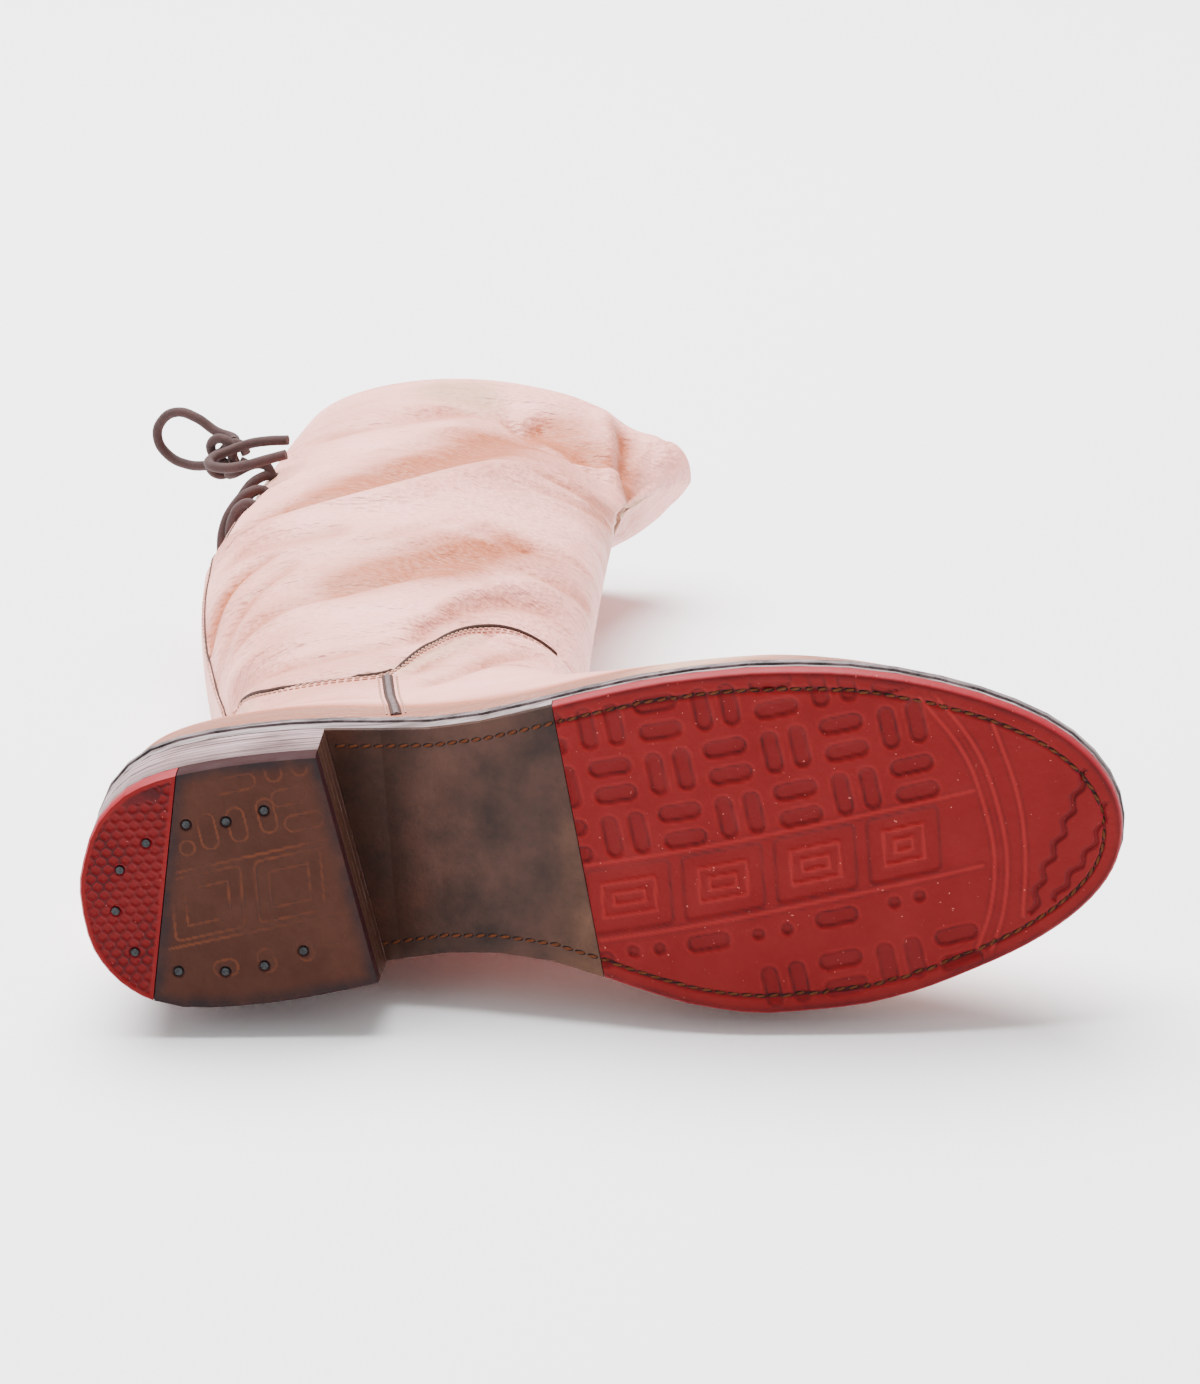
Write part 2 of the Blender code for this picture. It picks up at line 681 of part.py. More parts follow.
def around_back(outer, height, reach):
    """The skin's point and outward normal this far round from the back seam, lateral negative."""
    shaft = outer[-len(SHAFT_RINGS) :]
    order = range(0, -HEEL_COLUMNS - 1, -1) if reach > 0 else range(HEEL_COLUMNS + 1)
    line = []
    for column in order:
        zs = shaft[:, column, 2]
        k = int(np.clip(np.searchsorted(zs, height) - 1, 0, len(zs) - 2))
        part = (height - zs[k]) / (zs[k + 1] - zs[k])
        line.append(shaft[k, column] + part * (shaft[k + 1, column] - shaft[k, column]))
    line = np.array(line)
    arc = np.concatenate([[0], np.cumsum(np.linalg.norm(np.diff(line, axis=0), axis=1))])
    point = np.array([np.interp(abs(reach), arc, line[:, axis]) for axis in range(3)])
    near = np.array([np.interp(abs(reach) - CORD, arc, line[:, axis]) for axis in range(3)])
    far = np.array([np.interp(abs(reach) + CORD, arc, line[:, axis]) for axis in range(3)])
    run = (far - near) * (1 if reach > 0 else -1)
    out = np.array([-run[1], run[0], 0.0])
    return point, out / np.linalg.norm(out)


def tube(points, radius, sides):
    """A round bar along points, as points and faces, with flat ends."""
    points = np.array(points)
    tangent = np.gradient(points, axis=0)
    tangent /= np.linalg.norm(tangent, axis=1)[:, None]
    across = np.cross(tangent[0], (0.3, 0.5, 0.8))
    found, faces = [], []
    for centre, along in zip(points, tangent):
        across = across - along * across.dot(along)
        across /= np.linalg.norm(across)
        other = np.cross(along, across)
        for i in range(sides):
            turn = 2 * math.pi * i / sides
            found.append(centre + radius * (math.cos(turn) * across + math.sin(turn) * other))
    rows = len(points)
    for k in range(rows - 1):
        for i in range(sides):
            j = (i + 1) % sides
            faces.append((k * sides + i, k * sides + j, k * sides + sides + j, k * sides + sides + i))
    faces.append(tuple(range(sides)))
    faces.append(tuple((rows - 1) * sides + i for i in range(sides)))
    return found, faces


def curved(points, count):
    """Points at equal steps of a Bezier curve of any degree."""
    points = np.array(points, float)
    shares = np.linspace(0, 1, count)[:, None, None]
    while points.shape[-2] > 1:
        points = points[..., :-1, :] * (1 - shares) + points[..., 1:, :] * shares
    return points[:, 0]


def knot_point(along, up, off):
    """A point of the boot from its place in cord diameters from the knot's middle."""
    middle = (KNOT_AT[0] * SOLE_LENGTH, KNOT_AT[1] * UPPER_HEIGHT, KNOT_AT[2] * SHAFT_THICK)
    x, z, off = np.array(middle) + CORD * np.array((along, up, off))
    return np.array(turned(x, floor_at(z) - off, z))


def make_crossings(outer, placing):
    """Two crosses of lace over the back seam, joined where they meet."""
    strands = []
    clear = CORD / 2 + LACE_CLEAR
    for low, high in zip(LACE_LEVELS[:-1], LACE_LEVELS[1:]):
        for sign, lift in ((-1, 0.0), (1, LACE_CROSS)):
            line = []
            for share in np.linspace(0, 1, 9):
                height = UPPER_HEIGHT * (low + (high - low) * share)
                point, out = around_back(outer, height, sign * LACE_SPREAD * (1 - 2 * share))
                line.append(point + out * (clear + lift * math.sin(math.pi * share)))
            strands.append(line)
    # The lead climbs from the top hole and ends square under the nearest crest of the knot.
    hole, out = around_back(outer, UPPER_HEIGHT * LACE_LEVELS[-1], -LACE_SPREAD)
    start = hole + out * clear
    end = knot_point(KNOT_CREST[0], -KNOT_CREST[1], KNOT_CREST[2])
    bend = (start, start + LEAD_REACH * out, end - (0, 0, LEAD_REACH), end - (0, 0, CORD / 2), end)
    strands.append(curved(bend, 9))
    made = []
    for i, line in enumerate(strands):
        points, faces = tube(line, CORD / 2, 8)
        name = "lace_crossings" if i == 0 else "lace_strand_%d" % i
        mesh = closed_mesh(name, points, faces)
        made.append(add(name, mesh, "lace", placing) if i == 0 else helper(name, mesh, placing))
    for strand in made[1:]:
        cut(made[0], strand, "UNION")


def make_cord(name, points, placing):
    """A cord node: one round curve through the points."""
    curve = bpy.data.curves.new(name, "CURVE")
    curve.dimensions = "3D"
    curve.bevel_depth = CORD / 2
    curve.bevel_resolution = 2
    curve.use_fill_caps = True
    spline = curve.splines.new("POLY")
    spline.points.add(len(points) - 1)
    for target, point in zip(spline.points, points):
        target.co = (*map(float, point), 1.0)
    return add(name, curve, "lace", placing)


# The bow, in cord diameters from the knot's middle: along the sole, up the shaft, off the floor.
LOOPS = (
    # along, up, off
    (0.66, 1.3, 1.14),
    (0.6, 2.1, 1.2),
    (-1.4, 3.4, 1.6),
    (-3.4, 4.0, 2.8),
    (-5.4, 4.6, 3.2),
    (-7.0, 5.2, 2.2),
    (-7.6, 5.8, 0.2),
    (-6.6, 6.0, -1.6),
    (-4.6, 5.4, -2.4),
    (-2.4, 4.4, -2.2),
    (-0.1, 2.9, -1.5),
    (0.6, 2.1, -1.14),
    (0.66, 1.3, -1.14),
)
ENDS = (
    # along, up, off
    (6.6, -3.2, 2.6),
    (4.6, -2.8, 2.4),
    (2.6, -2.1, 1.9),
    (0.66, -1.8, 1.14),
    (-1.0, -2.6, 0.6),
    (-1.2, -4.0, 0.4),
    (0.4, -5.4, 0.4),
    (2.6, -6.2, 0.9),
    (4.8, -6.6, 1.6),
    (6.8, -6.8, 2.2),
)
KNOT_AT = (0.006, 0.812, 0.86)  # shares of SOLE_LENGTH, UPPER_HEIGHT and SHAFT_THICK
KNOT_REACH = (1.32, 0.70)  # radii of the knot, in cord diameters
KNOT_CREST = (0.66, 1.3, -1.14)  # just off one of its crests: along, up or down, off
LEAD_REACH = 0.006
KNOT_OPEN = 0.06  # half of the turn left open between the knot's ends, in radians
KNOT_POINTS, LOOP_POINTS, END_POINTS = 34, 26, 20


def make_bow(placing):
    def placed(rows):
        return [knot_point(*row) for row in rows]

    def eased(rows, count):
        rows = np.array(rows, float)
        arc = np.concatenate([[0], np.cumsum(np.linalg.norm(np.diff(rows, axis=0), axis=1))])
        table = [(a, *row) for a, row in zip(arc, rows)]
        at = np.linspace(0, arc[-1], count)
        return np.stack([smooth(table, axis + 1, at) for axis in range(3)], 1)

    wide, deep = KNOT_REACH
    knot = []
    for turn in np.linspace(KNOT_OPEN, 2 * math.pi - KNOT_OPEN, KNOT_POINTS):
        reach = wide + deep * math.cos(3 * turn)
        knot.append((reach * math.cos(2 * turn), deep * math.sin(3 * turn), reach * math.sin(2 * turn)))
    make_cord("lace_knot", placed(knot), placing)
    make_cord("lace_loops", placed(eased(LOOPS, LOOP_POINTS)), placing)
    make_cord("lace_ends", placed(eased(ENDS, END_POINTS)), placing)


# Where the boot may touch the floor: along the sole, and up the shaft.
HEEL_TO, BALL_FROM = 0.30, 0.55
SOLE_TO, SHAFT_FROM = 0.10, 0.70


def lay_down(placing, resting):
    """Turns and sets down the boot so that heel, ball and shaft touch the floor together."""
    groups = []
    graph = bpy.context.evaluated_depsgraph_get()
    for made in resting:
        mesh = made.evaluated_get(graph).to_mesh()
        found = np.array([tuple(v.co) for v in mesh.vertices])
        made.evaluated_get(graph).to_mesh_clear()
        groups.append(found)
    cloud = np.concatenate(groups)
    low = cloud[:, 2] < SOLE_TO * UPPER_HEIGHT
    heel = cloud[low & (cloud[:, 0] < HEEL_TO * SOLE_LENGTH)]
    ball = cloud[low & (cloud[:, 0] > BALL_FROM * SOLE_LENGTH)]
    shaft = cloud[cloud[:, 2] > SHAFT_FROM * UPPER_HEIGHT]
    tip = Matrix(((1, 0, 0), (0, 0, 1), (0, -1, 0))).to_4x4()
    lean, turn = LEAN, TURN
    for _ in range(40):
        rotation = Matrix.Rotation(-lean, 4, "X") @ tip @ Matrix.Rotation(turn, 4, "Z").inverted()
        basis = np.array(rotation.to_3x3())
        lows = [(group @ basis.T)[:, 2].min() for group in (heel, ball, shaft)]
        turn += (lows[0] - lows[1]) / (BALL_FROM * SOLE_LENGTH)
        lean += (lows[2] - lows[0]) / UPPER_HEIGHT
    world = cloud @ basis.T
    low, high = world.min(0), world.max(0)
    shift = (-(low[0] + high[0]) / 2, -(low[1] + high[1]) / 2, -low[2])
    placing.matrix_world = Matrix.Translation(Vector(shift)) @ rotation
    return math.degrees(lean), math.degrees(turn)


def build():
    for old in list(bpy.data.objects):
        bpy.data.objects.remove(old, do_unlink=True)
    placing = bpy.data.objects.new("placing", None)
    bpy.context.collection.objects.link(placing)

    base = RUBBER_THICK + FOREPART_LEATHER + GAP
    sole_edge = WELT_PROUD + GAP
    outsole = plate(
        "outsole",
        (
            (sole_edge + BEVEL, over(RUBBER_PROUD)),
            (sole_edge, over(RUBBER_PROUD + BEVEL)),
            (sole_edge, over(base)),
        ),
        "outsole",
        placing,
    )
    # The room for the rubber follows the tread, its slices turning square towards the toe.
    room = []
    for share in np.linspace(0, 1, ROOM_SLICES):
        along = RUBBER_LINE[0] + (1 - RUBBER_LINE[0]) * share
        for side in (-ROOM_REACH * BALL_WIDTH, ROOM_REACH * BALL_WIDTH):
            x = along * SOLE_LENGTH - GAP / 2 + side * RUBBER_LINE[1] * (1 - share)
            for z in (tread(x) - 2 * RUBBER_THICK, tread(x) + RUBBER_THICK + GAP):
                room.append((x, side, float(z)))
    last = 4 * (ROOM_SLICES - 1)
    faces = [(0, 1, 3, 2), tuple(last + i for i in (0, 2, 3, 1))]
    for k in range(ROOM_SLICES - 1):
        for a, b in ((0, 1), (1, 3), (3, 2), (2, 0)):
            faces.append((4 * k + a, 4 * k + 4 + a, 4 * k + 4 + b, 4 * k + b))
    cut(outsole, helper("rubber_room", closed_mesh("rubber_room", room, faces), placing))
    rubber = plate(
        "forefoot_rubber",
        (
            (sole_edge + 2 * BEVEL, over(0.0)),
            (sole_edge + BEVEL, over(BEVEL)),
            (sole_edge, over(RUBBER_THICK)),
        ),
        "rubber",
        placing,
        low=(RUBBER_LINE, GAP / 2),
    )
    welt_low = base + GAP
    welt_top = over(welt_low + WELT_THICK)
    welt = band("welt", 0.0, WELT_REACH, over(welt_low), welt_top, "welt", placing)
    plate(
        "insole",
        ((WELT_REACH + GAP, over(welt_low)), (WELT_REACH + GAP, over(welt_low + INSOLE_THICK))),
        "insole",
        placing,
    )

    # The heel narrows a little towards the ground.
    stack_top = over(RUBBER_PROUD - STACK_CLEAR)
    floor_of_lift = TOP_PIECE_THICK + GAP

    def heel_inset(height):
        return sole_edge + HEEL_DRAFT * (1 - height / HEEL_RISE)

    for number in range(1, LIFTS + 1):
        low = floor_of_lift + (number - 1) * (LIFT_THICK + GAP)
        high = level(low + LIFT_THICK) if number < LIFTS else stack_top
        layers = ((heel_inset(low), level(low)), (heel_inset(low + LIFT_THICK), high))
        name = "heel_lift_%d" % number
        plate(name, layers, "stack", placing, count=LIFT_STATIONS, high=(BREAST, 0.0))
    tread_layers = (
        (heel_inset(0.0) + BEVEL, level(0.0)),
        (heel_inset(0.0), level(BEVEL)),
        (heel_inset(TOP_PIECE_THICK), level(TOP_PIECE_THICK)),
    )
    rear = plate(
        "top_piece_rear",
        tread_layers,
        "rubber",
        placing,
        count=REAR_STATIONS,
        high=(TOP_SPLIT, -GAP / 2),
    )
    front = plate(
        "top_piece_front",
        tread_layers,
        "top_piece",
        placing,
        count=FRONT_STATIONS,
        low=(TOP_SPLIT, GAP / 2),
        high=(BREAST, 0.0),
    )
    spots = [(x * SOLE_LENGTH, y * BALL_WIDTH) for x, y in NAILS]
    depth = NAIL_LENGTH + GAP
    for piece, chosen in ((rear, spots[:REAR_NAILS]), (front, spots[REAR_NAILS:])):
        points, faces = rods(chosen, NAIL_HOLE / 2, -GAP, depth, 10)
        name = piece.name + "_bores"
        cut(piece, helper(name, closed_mesh(name, points, faces), placing))
    for number, spot in enumerate(spots, 1):
        points, faces = rods([spot], NAIL / 2, NAIL_SUNK, NAIL_LENGTH, 8)
        name = "heel_nail_%d" % number
        add(name, closed_mesh(name, points, faces), "nail", placing)

    upper, outer = make_upper(placing)
    holes, faces = [], []
    for height in LACE_LEVELS:
        for reach in (-LACE_SPREAD, LACE_SPREAD):
            point, out = around_back(outer, height * UPPER_HEIGHT, reach)
            found, sides = tube([point - 3 * WALL * out, point + 2 * WALL * out], LACE_HOLE / 2, 8)
            faces += [tuple(len(holes) + i for i in face) for face in sides]
            holes += found
    cut(upper, helper("lace_punch", closed_mesh("lace_punch", holes, faces), placing))
    make_crossings(outer, placing)
    make_bow(placing)

    bpy.context.view_layer.update()
    lean, turn = lay_down(placing, [upper, welt, outsole, rubber, rear, front])
    print("lies with lean %.2f and turn %.2f degrees" % (lean, turn))
    bpy.context.view_layer.update()


build()
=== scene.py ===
"""Looks of a tall leather boot that lies on its side, laced at the back of the shaft.

Shares of the boot's own sizes, and millimetres in its own frame, place each crease, stitch and
tread mark: x runs from heel to toe, y to the medial side and z up from the ground.
"""

import json
import math

import bmesh
import bpy
import numpy as np
from mathutils import Matrix, Vector
from mathutils.bvhtree import BVHTree


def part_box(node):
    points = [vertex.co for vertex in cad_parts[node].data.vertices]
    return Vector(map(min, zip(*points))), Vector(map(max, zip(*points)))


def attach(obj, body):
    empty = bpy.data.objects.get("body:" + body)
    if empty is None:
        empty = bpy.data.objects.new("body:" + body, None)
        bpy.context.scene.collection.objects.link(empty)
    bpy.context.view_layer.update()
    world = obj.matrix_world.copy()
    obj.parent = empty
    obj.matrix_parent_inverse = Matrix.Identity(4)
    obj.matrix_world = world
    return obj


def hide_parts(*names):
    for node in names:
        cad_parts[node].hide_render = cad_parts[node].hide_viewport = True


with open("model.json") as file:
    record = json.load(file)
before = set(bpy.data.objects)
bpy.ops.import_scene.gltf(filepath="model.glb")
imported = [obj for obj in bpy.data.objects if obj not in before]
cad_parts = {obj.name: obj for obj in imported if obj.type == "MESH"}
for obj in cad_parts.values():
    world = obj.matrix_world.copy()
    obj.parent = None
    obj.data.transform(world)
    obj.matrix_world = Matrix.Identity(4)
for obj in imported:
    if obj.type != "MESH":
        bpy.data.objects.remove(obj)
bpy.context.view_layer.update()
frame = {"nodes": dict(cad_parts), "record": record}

# Sizes of the boot, in metres.
MM = 0.001
SOLE_LENGTH = 0.2824
UPPER_HEIGHT = 0.410
SHAFT_THICK = 0.066
HEEL_MOUNT = 0.048  # from the back of the sole to the heel's mount
CORD = 0.0032
SHAFT_LEAN = math.radians(3.5)
SHAFT_TURN = math.radians(3.6)
FLOOR_AT_SOLE = 0.0342

# The camera stands where the photograph was taken from.
CAMERA_AT = (0.11934, -1.78465, 0.63261)
CAMERA_LOOK = (-0.06981, 0.94479, -0.32014)
CAMERA_ROLL = math.radians(-1.864)
CAMERA_LENS, SENSOR_HEIGHT = 164.5, 36.0

# The bow, in cord diameters from the knot's middle: along the sole, up the shaft, off the floor.
KNOT_AT = (0.006, 0.812, 0.86)  # shares of SOLE_LENGTH, UPPER_HEIGHT and SHAFT_THICK
KNOT_REACH = (1.32, 0.70)
KNOT_OPEN, KNOT_POINTS = 0.06, 34
KNOT_CREST = (0.66, 1.3, -1.14)
LOOPS = (
    # along, up, off
    (0.66, 1.3, 1.14),
    (0.6, 2.1, 1.2),
    (-1.4, 3.4, 1.6),
    (-3.4, 4.0, 2.8),
    (-5.4, 4.6, 3.2),
    (-7.0, 5.2, 2.2),
    (-7.6, 5.8, 0.2),
    (-6.6, 6.0, -1.6),
    (-4.6, 5.4, -2.4),
    (-2.4, 4.4, -2.2),
    (-0.1, 2.9, -1.5),
    (0.6, 2.1, -1.14),
    (0.66, 1.3, -1.14),
)
ENDS = (
    # along, up, off
    (6.6, -3.2, 2.6),
    (4.6, -2.8, 2.4),
    (2.6, -2.1, 1.9),
    (0.66, -1.8, 1.14),
    (-1.0, -2.6, 0.6),
    (-1.2, -4.0, 0.4),
    (0.4, -5.4, 0.4),
    (2.6, -6.2, 0.9),
    (4.8, -6.6, 1.6),
    (6.8, -6.8, 2.2),
)

# Punched lace holes on the skin, in millimetres, with the way out of the leather.
LACE_HOLES = {
    "lateral": (
        # x, y, z, out along, out across
        (17.0, -35.9, 291.9, -0.61, -0.79),
        (19.1, -36.2, 307.9, -0.54, -0.84),
        (20.2, -37.1, 323.9, -0.55, -0.83),
    ),
    "medial": (
        (11.5, -5.2, 291.9, -0.90, 0.44),
        (13.2, -5.9, 307.9, -0.90, 0.44),
        (14.5, -6.6, 323.9, -0.89, 0.45),
    ),
}
LACE_CLEAR = 2.05 * MM
LACE_CROSS = 2.6 * MM

# Creases of the slack shaft, on its upward side: how high and how wide in millimetres, how tan the
# leather shows there (worn tan and painted shade), then points in thousandths of SOLE_LENGTH and
# UPPER_HEIGHT.
CREASES = (
    # high, wide, tan, ((along, up), ...)
    (1.9, 7.0, 0.0, ((31, 635), (80, 562), (131, 544), (186, 550), (244, 588), (293, 642), (342, 699),
        (382, 748))),
    (-1.7, 11.0, 1.0, ((50, 650), (78, 614), (133, 591), (195, 633), (250, 694), (299, 765), (331, 851),
        (350, 890))),
    (-1.2, 2.4, 0.4, ((300, 912), (317, 909), (336, 898), (359, 862), (386, 844), (411, 834), (429, 835),
        (450, 838))),
    (-2.2, 9.0, 0.9, ((340, 915), (361, 906), (397, 882), (420, 865), (440, 850))),
    (1.3, 3.2, 0.0, ((427, 975), (434, 911), (441, 866), (449, 842), (451, 828), (451, 750))),
    (-0.5, 3.6, 0.9, ((446, 960), (453, 911), (460, 866), (467, 842), (469, 790))),
    (-0.6, 2.2, 0.3, ((360, 722), (374, 725), (405, 729), (434, 737), (455, 768))),
    (-0.6, 2.2, 0.3, ((365, 680), (381, 688), (410, 703), (433, 711), (456, 750))),
    (-0.6, 2.4, 0.4, ((375, 530), (389, 543), (420, 562), (450, 575))),
    (-0.6, 2.4, 0.3, ((375, 484), (391, 486), (423, 492), (455, 516))),
    (-1.0, 8.0, 0.9, ((150, 392), (193, 401), (238, 420), (289, 445), (344, 494), (379, 542), (400, 580))),
    (-0.7, 4.5, 0.5, ((55, 545), (79, 525), (122, 510), (179, 508), (215, 510))),
    (-0.6, 2.2, 0.3, ((70, 365), (93, 337), (129, 305), (178, 282), (229, 284), (274, 296), (325, 330))),
    (0.6, 3.0, 0.0, ((70, 372), (88, 354), (117, 338), (162, 321), (214, 315), (263, 326), (312, 357),
        (360, 400))),
    (-0.7, 3.0, 0.5, ((60, 392), (76, 388), (100, 384), (129, 387), (163, 391), (207, 395), (253, 411),
        (305, 452))),
    (-0.7, 2.6, 0.6, ((45, 420), (56, 448), (66, 467), (87, 481), (135, 494))),
    (-0.5, 2.4, 0.4, ((70, 380), (79, 398), (92, 417), (114, 442), (160, 462))),
    (-0.8, 3.2, 0.5, ((285, 298), (298, 314), (324, 368), (368, 417), (408, 440), (445, 446))),
    (0.7, 3.5, 0.0, ((300, 360), (345, 420), (390, 462), (440, 478))),
    (-0.6, 2.4, 0.3, ((290, 235), (305, 249), (331, 299), (357, 354), (372, 376))),
    (-0.6, 2.4, 0.4, ((300, 200), (317, 211), (354, 245), (383, 296), (409, 348), (420, 370))),
    (-0.4, 1.8, 0.2, ((440, 348), (422, 352), (389, 356), (355, 361))),
    (-0.4, 1.8, 0.2, ((430, 297), (416, 291), (377, 274), (350, 262))),
    (-0.6, 4.0, 0.4, ((100, 822), (127, 834), (177, 850), (227, 868), (277, 912), (335, 935))),
    (0.6, 4.0, 0.0, ((140, 866), (173, 879), (223, 895), (276, 920), (310, 945))),
    (-0.4, 3.0, 0.2, ((60, 700), (120, 690), (190, 720), (240, 770), (275, 820))),
    (0.5, 3.0, 0.0, ((75, 745), (130, 735), (190, 760), (245, 815), (290, 870))),
    (-0.4, 2.2, 0.2, ((190, 470), (240, 490), (290, 525), (330, 570))),
    (-0.35, 2.0, 0.2, ((230, 450), (280, 478), (330, 525), (360, 575))),
    (-0.5, 2.2, 0.2, ((457, 950), (457, 929), (455, 881), (449, 820))),
    (-0.5, 2.2, 0.2, ((488, 950), (486, 933), (482, 899), (465, 870))),
    (-0.4, 2.0, 0.2, ((490, 965), (496, 955), (507, 940), (503, 915))),
)
CREASE_DEEP = 2.1  # every crease's height is multiplied by this
MEDIAL_SHARE = 0.4  # how much of a hollow the floor side shows
COLLAR_END, COLLAR_FADE = 0.985, 0.03  # where the creases grow weaker, in shares of UPPER_HEIGHT
COLLAR_SHARE = 0.35  # how much of them is left at the collar
LONG_EDGE = 2.9 * MM  # longer edges of the skin are cut once more

# The lower edge of the upper: its place along the sole and its height there, then how far the tan
# and the darkening towards the welt reach up from it, and how strong they are.
LOWER_EDGE = ((0.06, 0.13), (0.052, 0.030))
TAN_BAND, TAN_LOW = 16 * MM, 0.9
DARKENING_BAND, DARKENING_LOW = 6 * MM, 0.55

# Marks of the forefoot's tread, in millimetres along the sole and across it.
WEAVE_AT = (165.0, -8.0)  # middle of a cell whose two recesses run along the sole
WEAVE_TURN = math.radians(-8.7)
WEAVE_PITCH = (15.8, 15.2)
WEAVE_PAIR = 3.75  # from a cell's middle to each of its recesses
RECESS_LENGTH, RECESS_WIDTH = 11.4, 4.3
SECOND_WEAVE_AT = (205.2, 35.0)
BAND_LINES = (((128, 4.6), (243, -12.9)), ((130, 25.7), (244, 8.0)))
PANELS = ((137.5, 160.5), (164.0, 185.5), (189.0, 210.5), (214.0, 233.0))
RIDGES = (
    ((230.2, -39.6), (241.4, -23.9), (245.5, -8.7), (247.7, 5.4), (245.8, 20.1), (241.0, 31.4)),
    ((233.6, -41.0), (244.8, -24.6), (249.0, -9.0), (251.0, 5.6), (249.2, 21.0), (244.6, 32.6)),
    ((248.9, -31.1), (254.8, -11.0), (255.8, 6.1), (253.8, 23.0)),
)
WAVES = (
    ((272.9, -15.9), (268.8, -6.2), (264.1, 3.9), (259.5, 11.9), (256.3, 22.7)),
    ((277.9, -6.3), (275.4, 1.9), (270.9, 8.9), (266.6, 13.7), (262.1, 19.6)),
)
DOTS = ((149.2, 27.1), (156.3, 26.4), (183.2, 23.0), (191.0, 21.9), (220.0, 16.3), (226.7, 15.0))
SINGLES = ((169.7, 24.7), (204.4, 19.4), (138.0, 30.0))

# Marks under the heel, in millimetres: the middle of a raised outline, its length along and across.
HEEL_MARKS = (
    # along, across, long, wide
    (46.0, -26.7, 11.5, 4.2),
    (33.0, -26.2, 5.0, 5.0),
    (56.7, -30.0, 4.2, 6.5),
    (63.8, -31.0, 4.0, 6.0),
    (60.5, -22.4, 9.5, 4.4),
    (64.0, -15.3, 10.5, 4.4),
    (37.8, -14.0, 4.6, 10.0),
    (45.9, -15.4, 4.6, 9.5),
    (54.1, -17.4, 4.6, 9.5),
    (31.9, -9.6, 4.0, 4.0),
    (61.2, 20.6, 4.0, 6.0),
    (69.0, 17.6, 6.5, 4.2),
    (39.3, 24.5, 6.5, 4.5),
    (50.5, 23.0, 4.5, 6.5),
)
HEEL_LINES = (((22.0, -1.8), (72.0, -10.4)), ((18.0, 19.4), (74.0, 10.4)))
HEEL_PANELS = ((26.5, 45.5), (49.5, 67.5))
HONEYCOMB = (3.3, 2.35)
RINGS = ((17.0, -24.2), (20.4, -24.6), (23.8, -24.8))

# Reach and size of the tread's marks, in millimetres.
WEAVE_ROWS = (-3, 0, 126, 232)  # first and last row of cells, and the reach along the sole
SECOND_ROWS = (0, 0, 180, 240)
RECESS_DEEP, DOT_RADIUS = 0.75, 1.5
WAVE_HIGH, WAVE_LONG, WAVE_WIDE, WAVE_DEEP = 0.75, 6.8, 1.4, 0.65
LINE_HIGH = 0.45
PANEL_DEEP, PANEL_MARGIN, PANEL_CORNER = 0.4, 3.4, 1.4
PANEL_BARS = (4.2, 7.2)  # from a panel's edge to each bar inside it
CHANNEL_DEEP, CHANNEL_WIDE = 0.45, 1.1
STITCH_OFF = 4.0  # from the tread's edge to the stitch line
CELL_DEEP, RING_HIGH, RING_RADIUS = 0.45, 0.25, 1.1
MARK_HIGH, FRAME_MARGIN, FRAME_CORNER, FRAME_BAR = 0.75, 3.6, 1.6, 3.6
NAIL_PIT, PIT_DEEP = 1.55, 0.8
AWAY = 9.0  # any distance that no mark reaches
SHOULDER = (0.8, 0.8, 0.18)  # how far up a plate's walls its rounded edge ends

# Stitches: length as a share of the pitch, width, height.
STITCH = 3.6 * MM
SEAM_STITCH = 2.3 * MM
THREAD = (0.82, 0.6 * MM, 0.55 * MM)
SOLE_THREAD = (0.8, 0.9 * MM, 0.6 * MM)
# The dark patch of painted shade at each stitch hole.
HOLE = (0.9, 1.3 * MM, 0.5 * MM)
BREAST_AT = (0.0585, 0.0685)  # lateral and medial start of the sole's stitches

# Seams of the upper, in thousandths of SOLE_LENGTH and UPPER_HEIGHT, and the size of their edges.
TOP_LINE = ((93, 335), (139, 276), (176, 253), (217, 242), (274, 240), (288, 268), (304, 300), (324, 335),
    (347, 364), (374, 384), (399, 393), (424, 397))
SIDE_SEAM = ((276, 237), (286, 185), (296, 140), (307, 92))
BACKSTAY = ((92, 337), (75, 378), (62, 417), (49, 458), (40, 520), (37, 580), (40, 640), (46, 700))
TOP_ROWS = (1.9 * MM, 3.8 * MM)  # from the top line down to its two rows of stitches
TOP_EDGE, STAY_EDGE = 0.65 * MM, 0.35 * MM
BEAD_RADIUS, LIP_RADIUS, LIP_OFF = 0.95 * MM, 0.5 * MM, 1.1 * MM
SEAM_ROW_OFF, STAY_ROW_OFF = 2.6 * MM, 1.6 * MM
RAY_START = 0.15  # beside the boot, from where rays look for its skin
BELOW_SOLE = -0.02


def srgb(red, green, blue):
    """A colour as the eye reads it, 0 to 255, in the shader's own scale."""
    values = [v / 255 for v in (red, green, blue)]
    return tuple(v / 12.92 if v < 0.04045 else ((v + 0.055) / 1.055) ** 2.4 for v in values) + (1.0,)


def smoothstep(value):
    value = np.clip(value, 0, 1)
    return value * value * (3 - 2 * value)


def softened(line, rounds=2):
    """The line with its corners cut off a few times."""
    line = np.array(line, float)
    for _ in range(rounds):
        near = 0.75 * line[:-1] + 0.25 * line[1:]
        far = 0.25 * line[:-1] + 0.75 * line[1:]
        cuts = np.stack([near, far], 1).reshape(-1, line.shape[1])
        line = np.concatenate([line[:1], cuts, line[-1:]])
    return line


def on_boot(line):
    """A line of thousandths, softened, in metres along the sole and up the shaft."""
    return softened(line) * (SOLE_LENGTH, UPPER_HEIGHT) / 1000


def lengths_along(path):
    """How far along a path each of its points lies."""
    return np.concatenate([[0], np.cumsum(np.linalg.norm(np.diff(path, axis=0), axis=1))])


